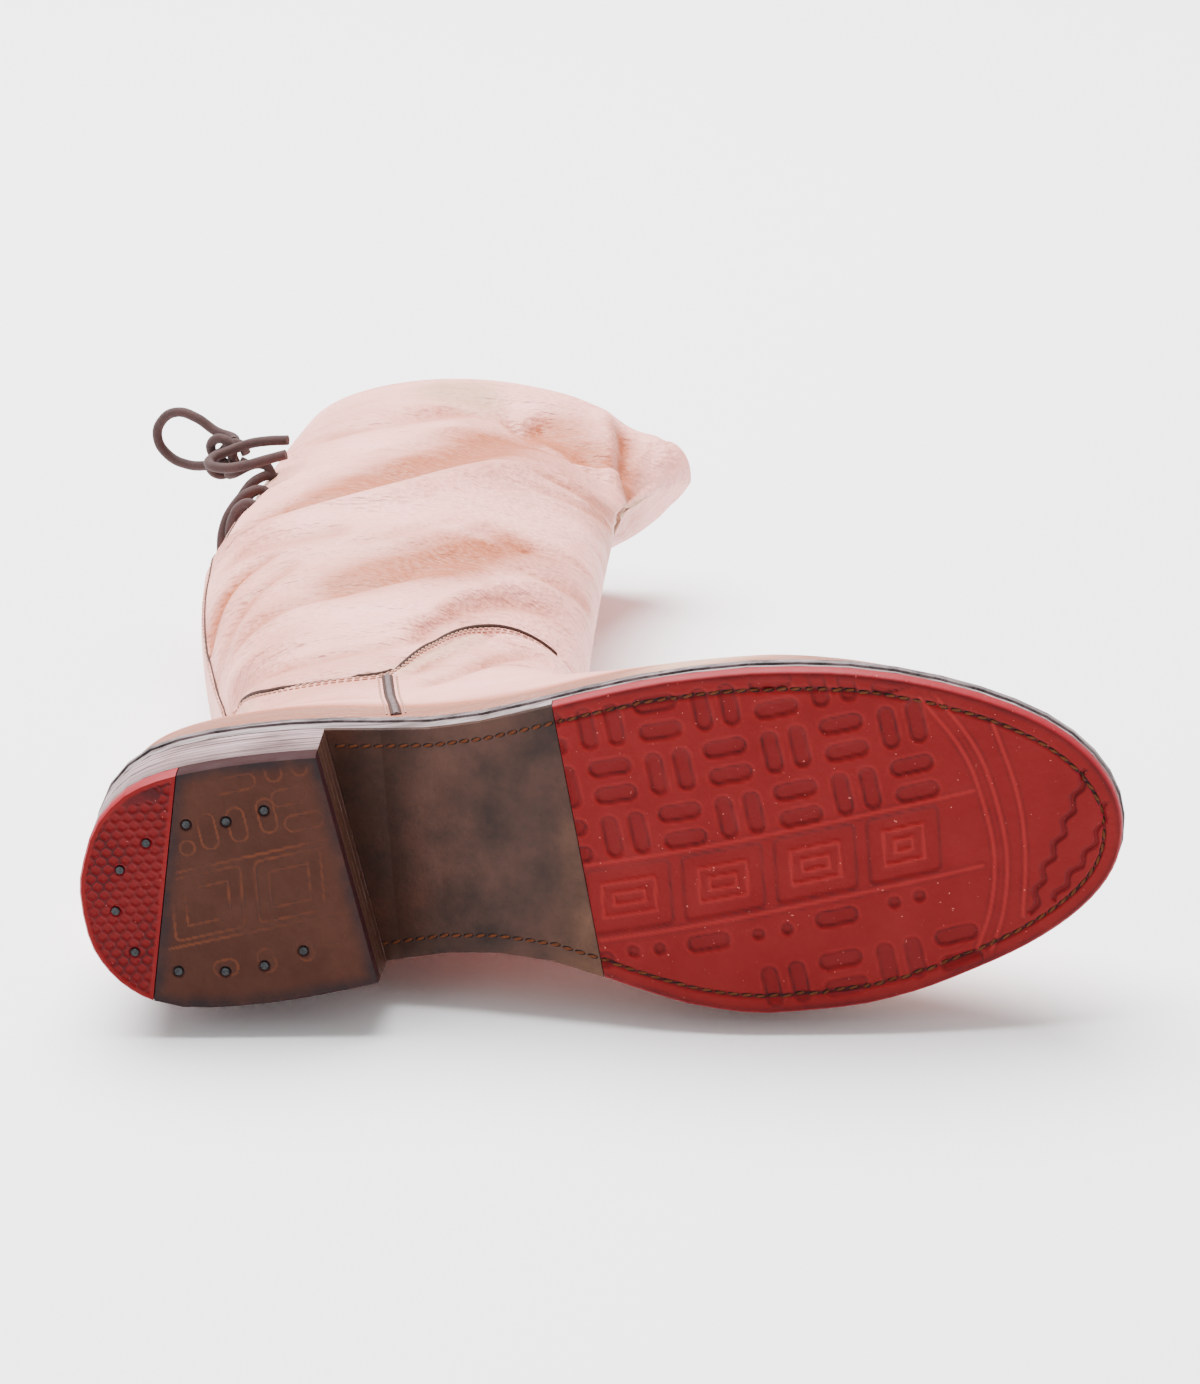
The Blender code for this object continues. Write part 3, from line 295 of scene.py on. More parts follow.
def places_along(path, gone, at):
    """Points of a path, where gone rises along it and at holds the values wanted."""
    return np.stack([np.interp(at, gone, column) for column in path.T], 1)


def from_line(at, line):
    """Signed distance of points from a flat line, and how far along it they are."""
    runs = np.diff(line, axis=0)
    lengths = np.linalg.norm(runs, axis=1)
    gone = np.concatenate([[0], np.cumsum(lengths)])
    nearest = np.full(len(at), np.inf)
    side, along = np.zeros(len(at)), np.zeros(len(at))
    for k, run in enumerate(runs):
        away = at - line[k]
        part = np.clip(away @ run / max(lengths[k] ** 2, 1e-12), 0, 1)
        gap = away - part[:, None] * run
        off = np.linalg.norm(gap, axis=1)
        near = off < nearest
        nearest[near] = off[near]
        side[near] = np.where(run[0] * gap[near, 1] < run[1] * gap[near, 0], -1, 1)
        along[near] = gone[k] + part[near] * lengths[k]
    return nearest * side, along / max(gone[-1], 1e-9)


def boot_frame():
    """How the boot's own frame lies in the world, from the record's two mounts."""
    mounts = {row["name"]: row for row in frame["record"]["mounts"]}
    heel = Vector(mounts["heel_tread"]["pos_m"])
    toe_way = (Vector(mounts["ball_tread"]["pos_m"]) - heel).normalized()
    medial = (-Vector(mounts["heel_tread"]["axis"])).cross(toe_way).normalized()
    turn = Matrix((toe_way, medial, toe_way.cross(medial))).transposed()
    return Matrix.Translation(heel - turn @ Vector((HEEL_MOUNT, 0, 0))) @ turn.to_4x4()


LAID = boot_frame()
UPRIGHT = LAID.inverted()
TOE_WAY, MEDIAL_WAY, UP_WAY = LAID.to_3x3().transposed()


def moved(points, matrix):
    points = np.asarray(points, float)
    return points @ np.array(matrix.to_3x3()).T + np.array(matrix.translation)


class Finish:
    """A material: its shader, and the nodes that feed it."""

    def __init__(self, name, rough, **sockets):
        self.material = bpy.data.materials.new(name)
        self.material.use_nodes = True
        self.tree = self.material.node_tree
        self.shader = self.tree.nodes["Principled BSDF"]
        self.shader.inputs["Roughness"].default_value = rough
        for socket, value in sockets.items():
            self.shader.inputs[socket.replace("_", " ")].default_value = value

    def node(self, kind, **settings):
        made = self.tree.nodes.new("ShaderNode" + kind)
        for setting, value in settings.items():
            setattr(made, setting, value)
        return made

    def feed(self, socket, value):
        if isinstance(value, bpy.types.NodeSocket):
            self.tree.links.new(value, socket)
        else:
            socket.default_value = value

    def place(self, stretch=(1, 1, 1), turn=(0, 0, 0)):
        mapping = self.node("Mapping")
        self.feed(mapping.inputs["Vector"], self.node("TexCoord").outputs["Object"])
        mapping.inputs["Scale"].default_value = stretch
        mapping.inputs["Rotation"].default_value = turn
        return mapping.outputs["Vector"]

    def noise(self, scale, detail=3.0, rough=0.55, stretch=(1, 1, 1), turn=(0, 0, 0)):
        made = self.node("TexNoise")
        self.feed(made.inputs["Vector"], self.place(stretch, turn))
        made.inputs["Scale"].default_value = scale
        made.inputs["Detail"].default_value = detail
        made.inputs["Roughness"].default_value = rough
        return made.outputs["Fac"]

    def cells(self, scale, stretch=(1, 1, 1), turn=(0, 0, 0)):
        made = self.node("TexVoronoi")
        self.feed(made.inputs["Vector"], self.place(stretch, turn))
        made.inputs["Scale"].default_value = scale
        return made.outputs["Distance"]

    def axis(self, name, stretch=(1, 1, 1), turn=(0, 0, 0)):
        parts = self.node("SeparateXYZ")
        self.feed(parts.inputs["Vector"], self.place(stretch, turn))
        return parts.outputs[name]

    def facing(self, name):
        parts = self.node("SeparateXYZ")
        self.feed(parts.inputs["Vector"], self.node("NewGeometry").outputs["Normal"])
        return parts.outputs[name]

    def attribute(self, name):
        return self.node("Attribute", attribute_name=name).outputs["Fac"]

    def between(self, value, low, high, start=0.0, end=1.0):
        made = self.node("MapRange")
        for socket, given in zip(made.inputs, (value, low, high, start, end)):
            self.feed(socket, given)
        return made.outputs["Result"]

    def math(self, operation, *values):
        made = self.node("Math", operation=operation)
        for socket, value in zip(made.inputs, values):
            self.feed(socket, value)
        return made.outputs["Value"]

    def mix(self, share, first, second):
        made = self.node("Mix", data_type="RGBA")
        for k, value in ((0, share), (6, first), (7, second)):
            self.feed(made.inputs[k], srgb(*value) if isinstance(value, tuple) else value)
        return made.outputs[2]

    def bump(self, height, depth, under=None):
        made = self.node("Bump")
        made.inputs["Distance"].default_value = depth
        self.feed(made.inputs["Height"], height)
        if under is not None:
            self.feed(made.inputs["Normal"], under)
        return made.outputs["Normal"]

    def done(self, colour=None, rough=None, normal=None):
        for socket, value in (("Base Color", colour), ("Roughness", rough), ("Normal", normal)):
            if value is not None:
                self.feed(self.shader.inputs[socket], value)
        return self.material


def upper_leather():
    """Pale pink drawn leather, tan in its hollows where worn and as painted shade, with a tan lining."""
    finish = Finish("upper_leather_finish", 0.55, Coat_Weight=0.08, Coat_Roughness=0.45)
    streaks = finish.noise(55, 5, 0.66, (0.4, 1.7, 1), (0, 0, 0.5))
    patches = finish.noise(16, 3, 0.5)
    # Painted shade: the tan layer darkens the crease hollows, on top of the worn patches.
    rubbed_and_shaded = finish.math("ADD", finish.attribute("tan"), finish.between(patches, 0.42, 0.72, 0.0, 0.45))
    rubbed_and_shaded = finish.math("MULTIPLY", rubbed_and_shaded, finish.between(streaks, 0.25, 0.65, 0.8, 1.3))
    pink = finish.mix(streaks, (250, 180, 170), (240, 156, 144))
    colour = finish.mix(rubbed_and_shaded, pink, (170, 86, 49))
    speckle = finish.between(finish.noise(900, 2, 0.6), 0.62, 0.72, 0.0, 0.25)
    colour = finish.mix(speckle, colour, (196, 112, 84))
    # Darker towards the welt.
    colour = finish.mix(finish.attribute("darkening"), colour, (112, 72, 58))
    colour = finish.mix(finish.attribute("lining"), colour, (196, 148, 120))
    grain = finish.cells(620, (0.55, 1.25, 1), (0, 0, 0.35))
    drawn = finish.noise(230, 4, 0.6, (0.5, 1.3, 1), (0, 0, 0.35))
    folds = finish.noise(45, 3, 0.5, (0.35, 1.6, 1), (0, 0, 0.45))
    normal = finish.bump(drawn, 1.0 * MM, finish.bump(grain, 0.5 * MM, finish.bump(folds, 6 * MM)))
    return finish.done(colour, finish.between(streaks, 0.2, 0.8, 0.42, 0.6), normal)


def red_rubber():
    """Moulded red rubber: painted shade and dust in its marks, a painted highlight on its ridges, pale
    specks.
    """
    finish = Finish("red_rubber_finish", 0.5, Specular_IOR_Level=0.12)
    cloud = finish.noise(70, 4, 0.6)
    colour = finish.mix(cloud, (112, 14, 14), (98, 10, 13))
    # Painted shade: the recesses darker.
    colour = finish.mix(finish.attribute("recess"), colour, (98, 10, 13))
    # Painted shade, with some dust, round the marks, in the stitch channel, along the rim and on the
    # honeycomb's walls.
    dust_and_shade = finish.math("MULTIPLY", finish.attribute("edge"), finish.between(cloud, 0.32, 0.62, 0.25, 1.0))
    colour = finish.mix(dust_and_shade, colour, (38, 10, 14))
    colour = finish.mix(finish.between(finish.facing("Y"), -0.86, -0.5), colour, (132, 28, 38))
    # Painted highlight: the raised lines, bars and rims lighter.
    colour = finish.mix(finish.math("MULTIPLY", finish.attribute("raised"), 0.7), colour, (134, 28, 28))
    specks = finish.between(finish.noise(1100, 1, 0.5), 0.76, 0.8, 0.0, 0.45)
    colour = finish.mix(specks, colour, (205, 120, 110))
    normal = finish.bump(finish.noise(700, 3, 0.6), 0.08 * MM, finish.bump(cloud, 0.5 * MM))
    return finish.done(colour, finish.between(cloud, 0.3, 0.7, 0.42, 0.58), normal)


def brown_rubber():
    """Worn brown top piece, dark with dirt near its edges, orange where its marks stand up."""
    finish = Finish("brown_rubber_finish", 0.6, Specular_IOR_Level=0.08)
    cloud = finish.noise(90, 5, 0.62)
    colour = finish.mix(cloud, (72, 41, 31), (50, 29, 24))
    worn = finish.math("MULTIPLY", finish.attribute("raised"), finish.between(cloud, 0.38, 0.6, 0.05, 0.8))
    colour = finish.mix(worn, colour, (92, 49, 32))
    darkening = finish.math("MULTIPLY", finish.attribute("edge"), finish.between(cloud, 0.3, 0.6, 0.3, 1.0))
    colour = finish.mix(darkening, colour, (38, 30, 32))
    colour = finish.mix(finish.between(finish.facing("Y"), -0.86, -0.5), colour, (44, 18, 20))
    normal = finish.bump(finish.noise(600, 3, 0.6), 0.1 * MM, finish.bump(cloud, 0.6 * MM))
    return finish.done(colour, finish.between(cloud, 0.3, 0.7, 0.55, 0.75), normal)


def sole_leather():
    """Dark oiled leather of the waist, tan beside the rubber, its cut edge grey."""
    finish = Finish("sole_leather_finish", 0.5, Specular_IOR_Level=0.2)
    blotch = finish.noise(38, 5, 0.6)
    colour = finish.mix(finish.between(blotch, 0.3, 0.66), (74, 43, 32), (36, 21, 17))
    near_rubber = finish.between(finish.axis("X", turn=(0, -0.11, 0)), -0.020, -0.006)
    light = finish.math("MULTIPLY", near_rubber, finish.between(blotch, 0.3, 0.6, 1.0, 0.3))
    colour = finish.mix(light, colour, (92, 60, 41))
    fleck = finish.between(finish.noise(500, 3, 0.7), 0.55, 0.75, 0.0, 0.4)
    colour = finish.mix(fleck, colour, (34, 24, 20))
    lines = finish.noise(420, 3, 0.6, (0.06, 1, 1))
    grey = finish.mix(finish.between(lines, 0.35, 0.65), (150, 136, 138), (84, 70, 68))
    colour = finish.mix(finish.between(finish.facing("Y"), -0.6, -0.35), colour, grey)
    normal = finish.bump(finish.noise(800, 3, 0.6), 0.07 * MM, finish.bump(blotch, 0.4 * MM))
    return finish.done(colour, finish.between(blotch, 0.3, 0.7, 0.38, 0.6), normal)


def stack_leather():
    """Grey dressed edge of the stacked leather with its layer lines, tan at the breast."""
    finish = Finish("stack_leather_finish", 0.6, Specular_IOR_Level=0.18)
    lines = finish.noise(900, 4, 0.65, (0.03, 1, 0.03))
    cloud = finish.noise(55, 3, 0.5)
    grey = finish.mix(finish.between(lines, 0.4, 0.62), (172, 144, 148), (88, 64, 64))
    grey = finish.mix(finish.between(cloud, 0.42, 0.7, 0.0, 0.7), grey, (66, 43, 38))
    worn = finish.between(finish.axis("Y"), -0.199, -0.184, 0.85, 0.0)
    grey = finish.mix(worn, grey, (58, 36, 32))
    tan = finish.mix(lines, (74, 45, 31), (46, 27, 20))
    colour = finish.mix(finish.between(finish.facing("X"), 0.7, 0.85), grey, tan)
    normal = finish.bump(lines, 0.25 * MM)
    return finish.done(colour, finish.between(cloud, 0.3, 0.7, 0.4, 0.6), normal)


def welt_leather():
    """Grey dressed welt, scuffed on its edge."""
    finish = Finish("welt_leather_finish", 0.6, Specular_IOR_Level=0.2)
    lines = finish.noise(700, 4, 0.65, (0.08, 1, 0.08))
    scuff = finish.noise(120, 4, 0.7)
    colour = finish.mix(finish.between(lines, 0.35, 0.65), (138, 122, 124), (66, 56, 58))
    colour = finish.mix(finish.between(scuff, 0.45, 0.65, 0.0, 0.85), colour, (36, 31, 34))
    normal = finish.bump(lines, 0.2 * MM, finish.bump(scuff, 0.3 * MM))
    return finish.done(colour, None, normal)


def insole_leather():
    """Plain tan insole with a fine grain."""
    finish = Finish("insole_leather_finish", 0.65)
    cloud = finish.noise(45, 4, 0.6)
    colour = finish.mix(cloud, (196, 158, 122), (160, 122, 92))
    return finish.done(colour, None, finish.bump(finish.noise(900, 3, 0.6), 0.1 * MM))


def lace_suede():
    """Round brown lace with a fine nap and darker scuffed patches."""
    finish = Finish("lace_suede_finish", 0.85, Sheen_Weight=0.04, Sheen_Roughness=0.5)
    nap = finish.noise(1500, 4, 0.7)
    patch = finish.noise(160, 3, 0.6)
    colour = finish.mix(patch, (66, 36, 33), (38, 21, 20))
    colour = finish.mix(finish.between(nap, 0.5, 0.8, 0.0, 0.5), colour, (84, 52, 48))
    return finish.done(colour, None, finish.bump(nap, 0.22 * MM, finish.bump(patch, 0.4 * MM)))


def nail_steel():
    """Dull nail heads, spotted with dirt."""
    finish = Finish("nail_steel_finish", 0.5, Metallic=0.6)
    spots = finish.noise(1400, 3, 0.6)
    colour = finish.mix(finish.between(spots, 0.4, 0.65), (44, 47, 49), (14, 14, 16))
    return finish.done(colour, None, finish.bump(spots, 0.1 * MM))


def plain_finish(name, light, dark, rough, scale, depth):
    """Two close colours in a fine noise, raised by the same noise."""
    finish = Finish(name, rough, Specular_IOR_Level=0.2)
    noise = finish.noise(scale, 3, 0.6)
    return finish.done(finish.mix(noise, light, dark), None, finish.bump(noise, depth))


def placed(name, data):
    """A new object in the scene."""
    made = bpy.data.objects.new(name, data)
    bpy.context.scene.collection.objects.link(made)
    return made


def shown(name, mesh, material, slot, *nodes):
    """An object that rides on the boot and may stand for CAD nodes."""
    made = placed(name, mesh)
    made.data.materials.clear()
    made.data.materials.append(material)
    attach(made, "root")
    if nodes:
        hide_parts(*nodes)
    return made


def meshed(name, work, sharp=40):
    """The bmesh as a smooth mesh with sharp edges kept."""
    mesh = bpy.data.meshes.new(name)
    work.to_mesh(mesh)
    work.free()
    mesh.shade_smooth()
    mesh.set_sharp_from_angle(angle=math.radians(sharp))
    return mesh


def finish_node(node, material):
    """Gives a CAD node's own mesh a material."""
    for slot in frame["nodes"][node].material_slots:
        slot.material = material


def tree_of(*pieces):
    """A tree of the faces of several pieces, for finding places on them."""
    points, faces = [], []
    for piece in pieces:
        base = len(points)
        points += [v.co[:] for v in piece.data.vertices]
        faces += [[base + i for i in face.vertices] for face in piece.data.polygons]
    return BVHTree.FromPolygons(points, faces)


# Lace


def floor_at(height):
    return FLOOR_AT_SOLE - height * math.tan(SHAFT_LEAN)


def knot_point(along, up, off):
    """A world point from its place in cord diameters from the knot's middle."""
    middle = (KNOT_AT[0] * SOLE_LENGTH, KNOT_AT[1] * UPPER_HEIGHT, KNOT_AT[2] * SHAFT_THICK)
    x, z, off = np.array(middle) + CORD * np.array((along, up, off))
    y = floor_at(z) - off
    cos, sin = math.cos(SHAFT_TURN), math.sin(SHAFT_TURN)
    return LAID @ Vector((x * cos - y * sin, x * sin + y * cos, z))


def round_curve(name, radius, rounding):
    """An empty curve for round cords."""
    curve = bpy.data.curves.new(name, "CURVE")
    curve.dimensions = "3D"
    curve.bevel_depth = radius
    curve.bevel_resolution = rounding
    curve.use_fill_caps = True
    return curve


def cord_curve(name, lines):
    """Round lace through each line of points."""
    curve = round_curve(name, CORD / 2, 5)
    curve.resolution_u = 8
    for line in lines:
        spline = curve.splines.new("BEZIER")
        spline.bezier_points.add(len(line) - 1)
        for target, point in zip(spline.bezier_points, line):
            target.co = point
            target.handle_left_type = target.handle_right_type = "AUTO"
    return curve


def make_bow(suede):
    wide, deep = KNOT_REACH
    knot = []
    for turn in np.linspace(KNOT_OPEN, 2 * math.pi - KNOT_OPEN, KNOT_POINTS):
        reach = wide + deep * math.cos(3 * turn)
        knot.append((reach * math.cos(2 * turn), deep * math.sin(3 * turn), reach * math.sin(2 * turn)))
    for name, rows, far_end in (("knot", knot, "object"), ("loops", LOOPS, "object"), ("ends", ENDS, "bare")):
        points = [knot_point(*row) for row in rows]
        curve = cord_curve("bow_" + name, [points])
        cord = shown("bow_" + name, curve, suede, "lace_suede", "lace_" + name)
        bpy.context.view_layer.update()


def make_lacing(suede, skin):
    """Lace that crosses over the back seam and dips into the punched holes."""
    holes = {
        side: [(Vector(row[:3]) * MM, Vector((row[3], row[4], 0)).normalized()) for row in rows]
        for side, rows in LACE_HOLES.items()
    }
    lines = []
    for k in range(2):
        for start, end, lift in (("lateral", "medial", 0.0), ("medial", "lateral", LACE_CROSS)):
            (low, low_out), (high, high_out) = holes[start][k], holes[end][k + 1]
            line = [low - low_out * 4 * MM, low + low_out * 0.4 * MM]
            for share in np.linspace(0.14, 0.86, 6):
                out = low_out.lerp(high_out, share).normalized()
                chord = low.lerp(high, share)
                hit = skin.ray_cast(LAID @ (chord + 0.05 * out), LAID.to_3x3() @ -out)[0]
                clear = LACE_CLEAR + lift * math.sin(math.pi * share)
                line.append(UPRIGHT @ hit + out * clear)
            line += [high + high_out * 0.4 * MM, high - high_out * 4 * MM]
            lines.append([LAID @ point for point in line])
    hole, out = holes["lateral"][-1]
    crest = UPRIGHT @ knot_point(KNOT_CREST[0], -KNOT_CREST[1], KNOT_CREST[2])
    lead = [hole - out * 4 * MM, hole + out * 0.6 * MM, hole + out * 5 * MM + Vector((0, 0, 0.5 * MM))]
    lead += [crest - Vector((0, 0, 4 * MM)), crest]
    lines.append([LAID @ point for point in lead])
    shown("lace_strands", cord_curve("lace_strands", lines), suede, "lace_suede", "lace_crossings")


# Upper


def merged_copy(node):
    """A bmesh of a CAD node's mesh with its doubles merged."""
    work = bmesh.new()
    work.from_mesh(frame["nodes"][node].data)
    bmesh.ops.remove_doubles(work, verts=work.verts[:], dist=2e-6)
    return work


def crease_field(x, z):
    """How far the creases raise the skin, and how tan it shows, the tan partly painted shade in the hollows.
    """
    at = np.stack([x, z], 1)
    height, tan = np.zeros(len(at)), np.zeros(len(at))
    for high, wide, tint, line in CREASES:
        off, along = from_line(at, on_boot(line))
        ends = smoothstep(6 * along) * smoothstep(6 * (1 - along))
        height += CREASE_DEEP * high * MM * ends * np.exp(-((off / (wide * MM)) ** 2))
        tan = np.maximum(tan, tint * ends * np.exp(-((off / (1.5 * wide * MM)) ** 2)))
    return height, tan


def smoothed_upper():
    """A fine copy of the upper, its inner side marked in the layer called lining."""
    work = merged_copy("upper")
    bmesh.ops.join_triangles(
        work,
        faces=work.faces[:],
        angle_face_threshold=math.radians(40),
        angle_shape_threshold=math.radians(60),
    )
    tree = BVHTree.FromBMesh(work)
    lining = work.verts.layers.float.new("lining")
    for face in work.faces:
        middle = face.calc_center_median()
        hit = tree.ray_cast(middle + face.normal * 0.5 * MM, face.normal)[0]
        if hit is not None:
            for vert in face.verts:
                vert[lining] = 1.0
    crease = work.edges.layers.float.new("crease_edge")
    for edge in work.edges:
        if len(edge.link_faces) == 2 and edge.calc_face_angle() > math.radians(35):
            edge[crease] = 0.9
    rough = bpy.data.meshes.new("upper_rough")
    work.to_mesh(rough)
    work.free()
    holder = placed("upper_rough", rough)
    swell = holder.modifiers.new("smooth", "SUBSURF")
    swell.levels = swell.render_levels = 2
    ready = holder.evaluated_get(bpy.context.evaluated_depsgraph_get())
    work = bmesh.new()
    work.from_mesh(ready.to_mesh())
    bpy.data.objects.remove(holder)
    lining = work.verts.layers.float["lining"]
    longer = [
        edge
        for edge in work.edges
        if edge.calc_length() > LONG_EDGE and max(v[lining] for v in edge.verts) < 0.5
    ]
    bmesh.ops.subdivide_edges(work, edges=longer, cuts=1, use_grid_fill=True)
    work.normal_update()
    work.verts.ensure_lookup_table()
    return work


def make_upper(leather):
    """The upper with its creases, tan hollows partly of painted shade, and a lower edge darker towards the
    welt.
    """
    work = smoothed_upper()
    lining = work.verts.layers.float["lining"]
    world = np.array([v.co[:] for v in work.verts])
    normal = np.array([v.normal[:] for v in work.verts])
    inside = np.array([v[lining] for v in work.verts])
    boot = moved(world, UPRIGHT)
    facing = (normal @ np.array(UPRIGHT.to_3x3())[1]) * (1 - 2 * inside)
    height, tan = crease_field(boot[:, 0], boot[:, 2])
    lateral = smoothstep((-facing - 0.02) / 0.3)
    medial = smoothstep((facing - 0.02) / 0.3)
    collar = smoothstep((COLLAR_END - boot[:, 2] / UPPER_HEIGHT) / COLLAR_FADE)
    shift = height * lateral - MEDIAL_SHARE * np.abs(height) * medial
    shift *= (1 - 2 * inside) * (COLLAR_SHARE + (1 - COLLAR_SHARE) * collar)
    tan *= lateral + MEDIAL_SHARE * medial
    low = boot[:, 2] - np.interp(boot[:, 0], *LOWER_EDGE)
    tan = np.maximum(tan, TAN_LOW * smoothstep(1 - low / TAN_BAND))
    welt_darkening = DARKENING_LOW * smoothstep(1 - low / DARKENING_BAND) * (1 - inside)
    # The tan layer holds worn tan and the painted shade of the crease hollows.
    tan_and_shade_layer = work.verts.layers.float.new("tan")
    darkening_layer = work.verts.layers.float.new("darkening")
    for vert, off, tone, darkened, way in zip(work.verts, shift, tan, welt_darkening, normal):
        vert.co += Vector(way) * off
        vert[tan_and_shade_layer] = tone
        vert[darkening_layer] = darkened
    return shown("boot_upper", meshed("boot_upper", work), leather, "upper_leather", "upper")


# Sole and heel


def rim(node, down):
    """The lateral and medial edges of a node's flat face, heel to toe, in the boot's frame."""
    mesh = frame["nodes"][node].data
    way = -UP_WAY if down else UP_WAY
    chosen = {
        mesh.loops[i].vertex_index
        for face in mesh.polygons
        if face.normal.dot(way) > 0.8
        for i in face.loop_indices
    }
    points = moved([mesh.vertices[i].co[:] for i in chosen], UPRIGHT)
    for nail in nail_spots():
        points = points[np.linalg.norm(points[:, :2] - nail, axis=1) > 2 * MM]
    points = points[points[:, 0].argsort()]
    tips = [tip for tip in (points[0], points[-1]) if abs(tip[1]) < 2 * MM]
    sides = []
    for sign in (-1, 1):
        side = [point for point in points if sign * point[1] > 0]
        side = sorted(side + tips, key=lambda point: point[0])
        kept = side[:1]
        for point in side[1:]:
            if np.linalg.norm(point - kept[-1]) > 0.03 * MM:
                kept.append(point)
        sides.append(np.array(kept))
    return sides


def nail_spots():
    """Middle of each heel nail, along and across the sole."""
    names = [name for name in frame["nodes"] if name.startswith("heel_nail")]
    middles = [(Vector(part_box(name)[0]) + Vector(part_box(name)[1])) / 2 for name in names]
    return [np.array((UPRIGHT @ middle)[:2]) for middle in middles]


def along(side, share):
    """Points at these shares of the way through a row of points."""
    return places_along(side, np.arange(len(side)), share * (len(side) - 1))


def turned(at, middle, turn):
    """How far points lie along and across a turned bar, from its middle."""
    away = at - np.array(middle)
    cos, sin = math.cos(turn), math.sin(turn)
    return away[:, 0] * cos + away[:, 1] * sin, away[:, 1] * cos - away[:, 0] * sin


def rounded(at, middle, long, wide, corner, turn=0.0):
    """Distance outside a rounded bar whose length is turned from the sole's own."""
    down, over = turned(at, middle, turn)
    down, over = np.abs(down) - (long / 2 - corner), np.abs(over) - (wide / 2 - corner)
    return np.hypot(np.maximum(down, 0), np.maximum(over, 0)) + np.minimum(np.maximum(down, over), 0) - corner


def sunk(distance, edge=0.5):
    """1 inside a shape and 0 outside, with a soft edge."""
    return smoothstep(0.5 - distance / edge)


def raised(distance, half=0.4, edge=0.45):
    """1 along a shape's outline and 0 away from it."""
    return sunk(np.abs(distance) - half, edge)


def weave(at, middle, rows):
    """Distance outside the nearest recess of a basket weave, in these rows of its cells."""
    down, over = turned(at, middle, WEAVE_TURN)
    i, j = np.round(down / WEAVE_PITCH[0]), np.round(over / WEAVE_PITCH[1])
    down, over = down - i * WEAVE_PITCH[0], over - j * WEAVE_PITCH[1]
    lengthwise = (i + j) % 2 == 0
    long = np.abs(np.where(lengthwise, down, over)) - (RECESS_LENGTH - RECESS_WIDTH) / 2
    wide = np.abs(np.where(lengthwise, over, down)) - WEAVE_PAIR
    distance = np.hypot(np.maximum(long, 0), wide) - RECESS_WIDTH / 2
    middle_x = middle[0] + i * WEAVE_PITCH[0] * math.cos(WEAVE_TURN)
    middle_x -= j * WEAVE_PITCH[1] * math.sin(WEAVE_TURN)
    first, last, start, end = rows
    allowed = (j >= first) & (j <= last) & (middle_x > start) & (middle_x < end)
    return np.where(allowed, distance, AWAY)


def framed(at, lines, spans, margin, corner):
    """Distance outside each rounded panel that stands between two slanted lines."""
    band = [np.interp(at[:, 0], (a[0], b[0]), (a[1], b[1])) for a, b in lines]
    middle, wide = (band[0] + band[1]) / 2, (band[1] - band[0]).mean() - margin
    for low, high in spans:
        flat = np.stack([at[:, 0] - (low + high) / 2, at[:, 1] - middle], 1)
        yield rounded(flat, (0, 0), high - low, wide, corner)


def forefoot_relief(at, off_edge, off_side):
    """Depth of the forefoot's tread marks in millimetres, with its recesses and their edges."""
    shapes = [weave(at, WEAVE_AT, WEAVE_ROWS), weave(at, SECOND_WEAVE_AT, SECOND_ROWS)]
    shapes += [np.hypot(*(at - np.array(dot)).T) - DOT_RADIUS for dot in DOTS]
    shapes += [
        rounded(at, spot, RECESS_LENGTH, RECESS_WIDTH, RECESS_WIDTH / 2, WEAVE_TURN) for spot in SINGLES
    ]
    distance = np.minimum.reduce(shapes)
    depth = RECESS_DEEP * sunk(distance)
    edge = raised(distance + 0.2, 0.15, 0.9)
    for wave in WAVES:
        off, share = from_line(at, softened(wave))
        length = np.linalg.norm(np.diff(wave, axis=0), axis=1).sum()
        off = np.abs(off - WAVE_HIGH * np.sin(2 * math.pi * share * length / WAVE_LONG)) - WAVE_WIDE / 2
        off[(share <= 0) | (share >= 1)] = AWAY
        depth = np.maximum(depth, WAVE_DEEP * sunk(off))
        edge = np.maximum(edge, raised(off, 0.2, 1.0))
    # proud marks the rims, lines and bars that get a painted highlight.
    recess, proud = depth.copy(), 0.55 * raised(distance - 0.75, 0.15, 0.6)
    for line in BAND_LINES + RIDGES:
        off = from_line(at, softened(line))[0]
        depth -= LINE_HIGH * raised(off)
        proud = np.maximum(proud, raised(off))
        edge = np.maximum(edge, 0.7 * raised(np.abs(off) - 1.0, 0.1, 0.8))
    for panel in framed(at, BAND_LINES, PANELS, PANEL_MARGIN, PANEL_CORNER):
        bars = np.maximum.reduce([raised(panel + bar) for bar in PANEL_BARS])
        depth += PANEL_DEEP * (sunk(panel) - bars)
        proud = np.maximum(proud, bars)
        edge = np.maximum(edge, 0.8 * raised(panel, 0.2, 1.2))
    fade = smoothstep((off_side - 1.6) / 1.2) * smoothstep((off_edge - 0.3) / 0.6)
    depth *= fade
    channel = sunk(np.abs(off_side - STITCH_OFF) - CHANNEL_WIDE / 2)
    depth += CHANNEL_DEEP * channel
    # Painted shade, with some dust, round the marks, in the stitch channel and along the rim.
    darkening = np.maximum(edge, channel)
    darkening = np.maximum(darkening, 0.6 * smoothstep((1.6 - off_side) / 1.6))
    return depth, recess, darkening, proud * fade


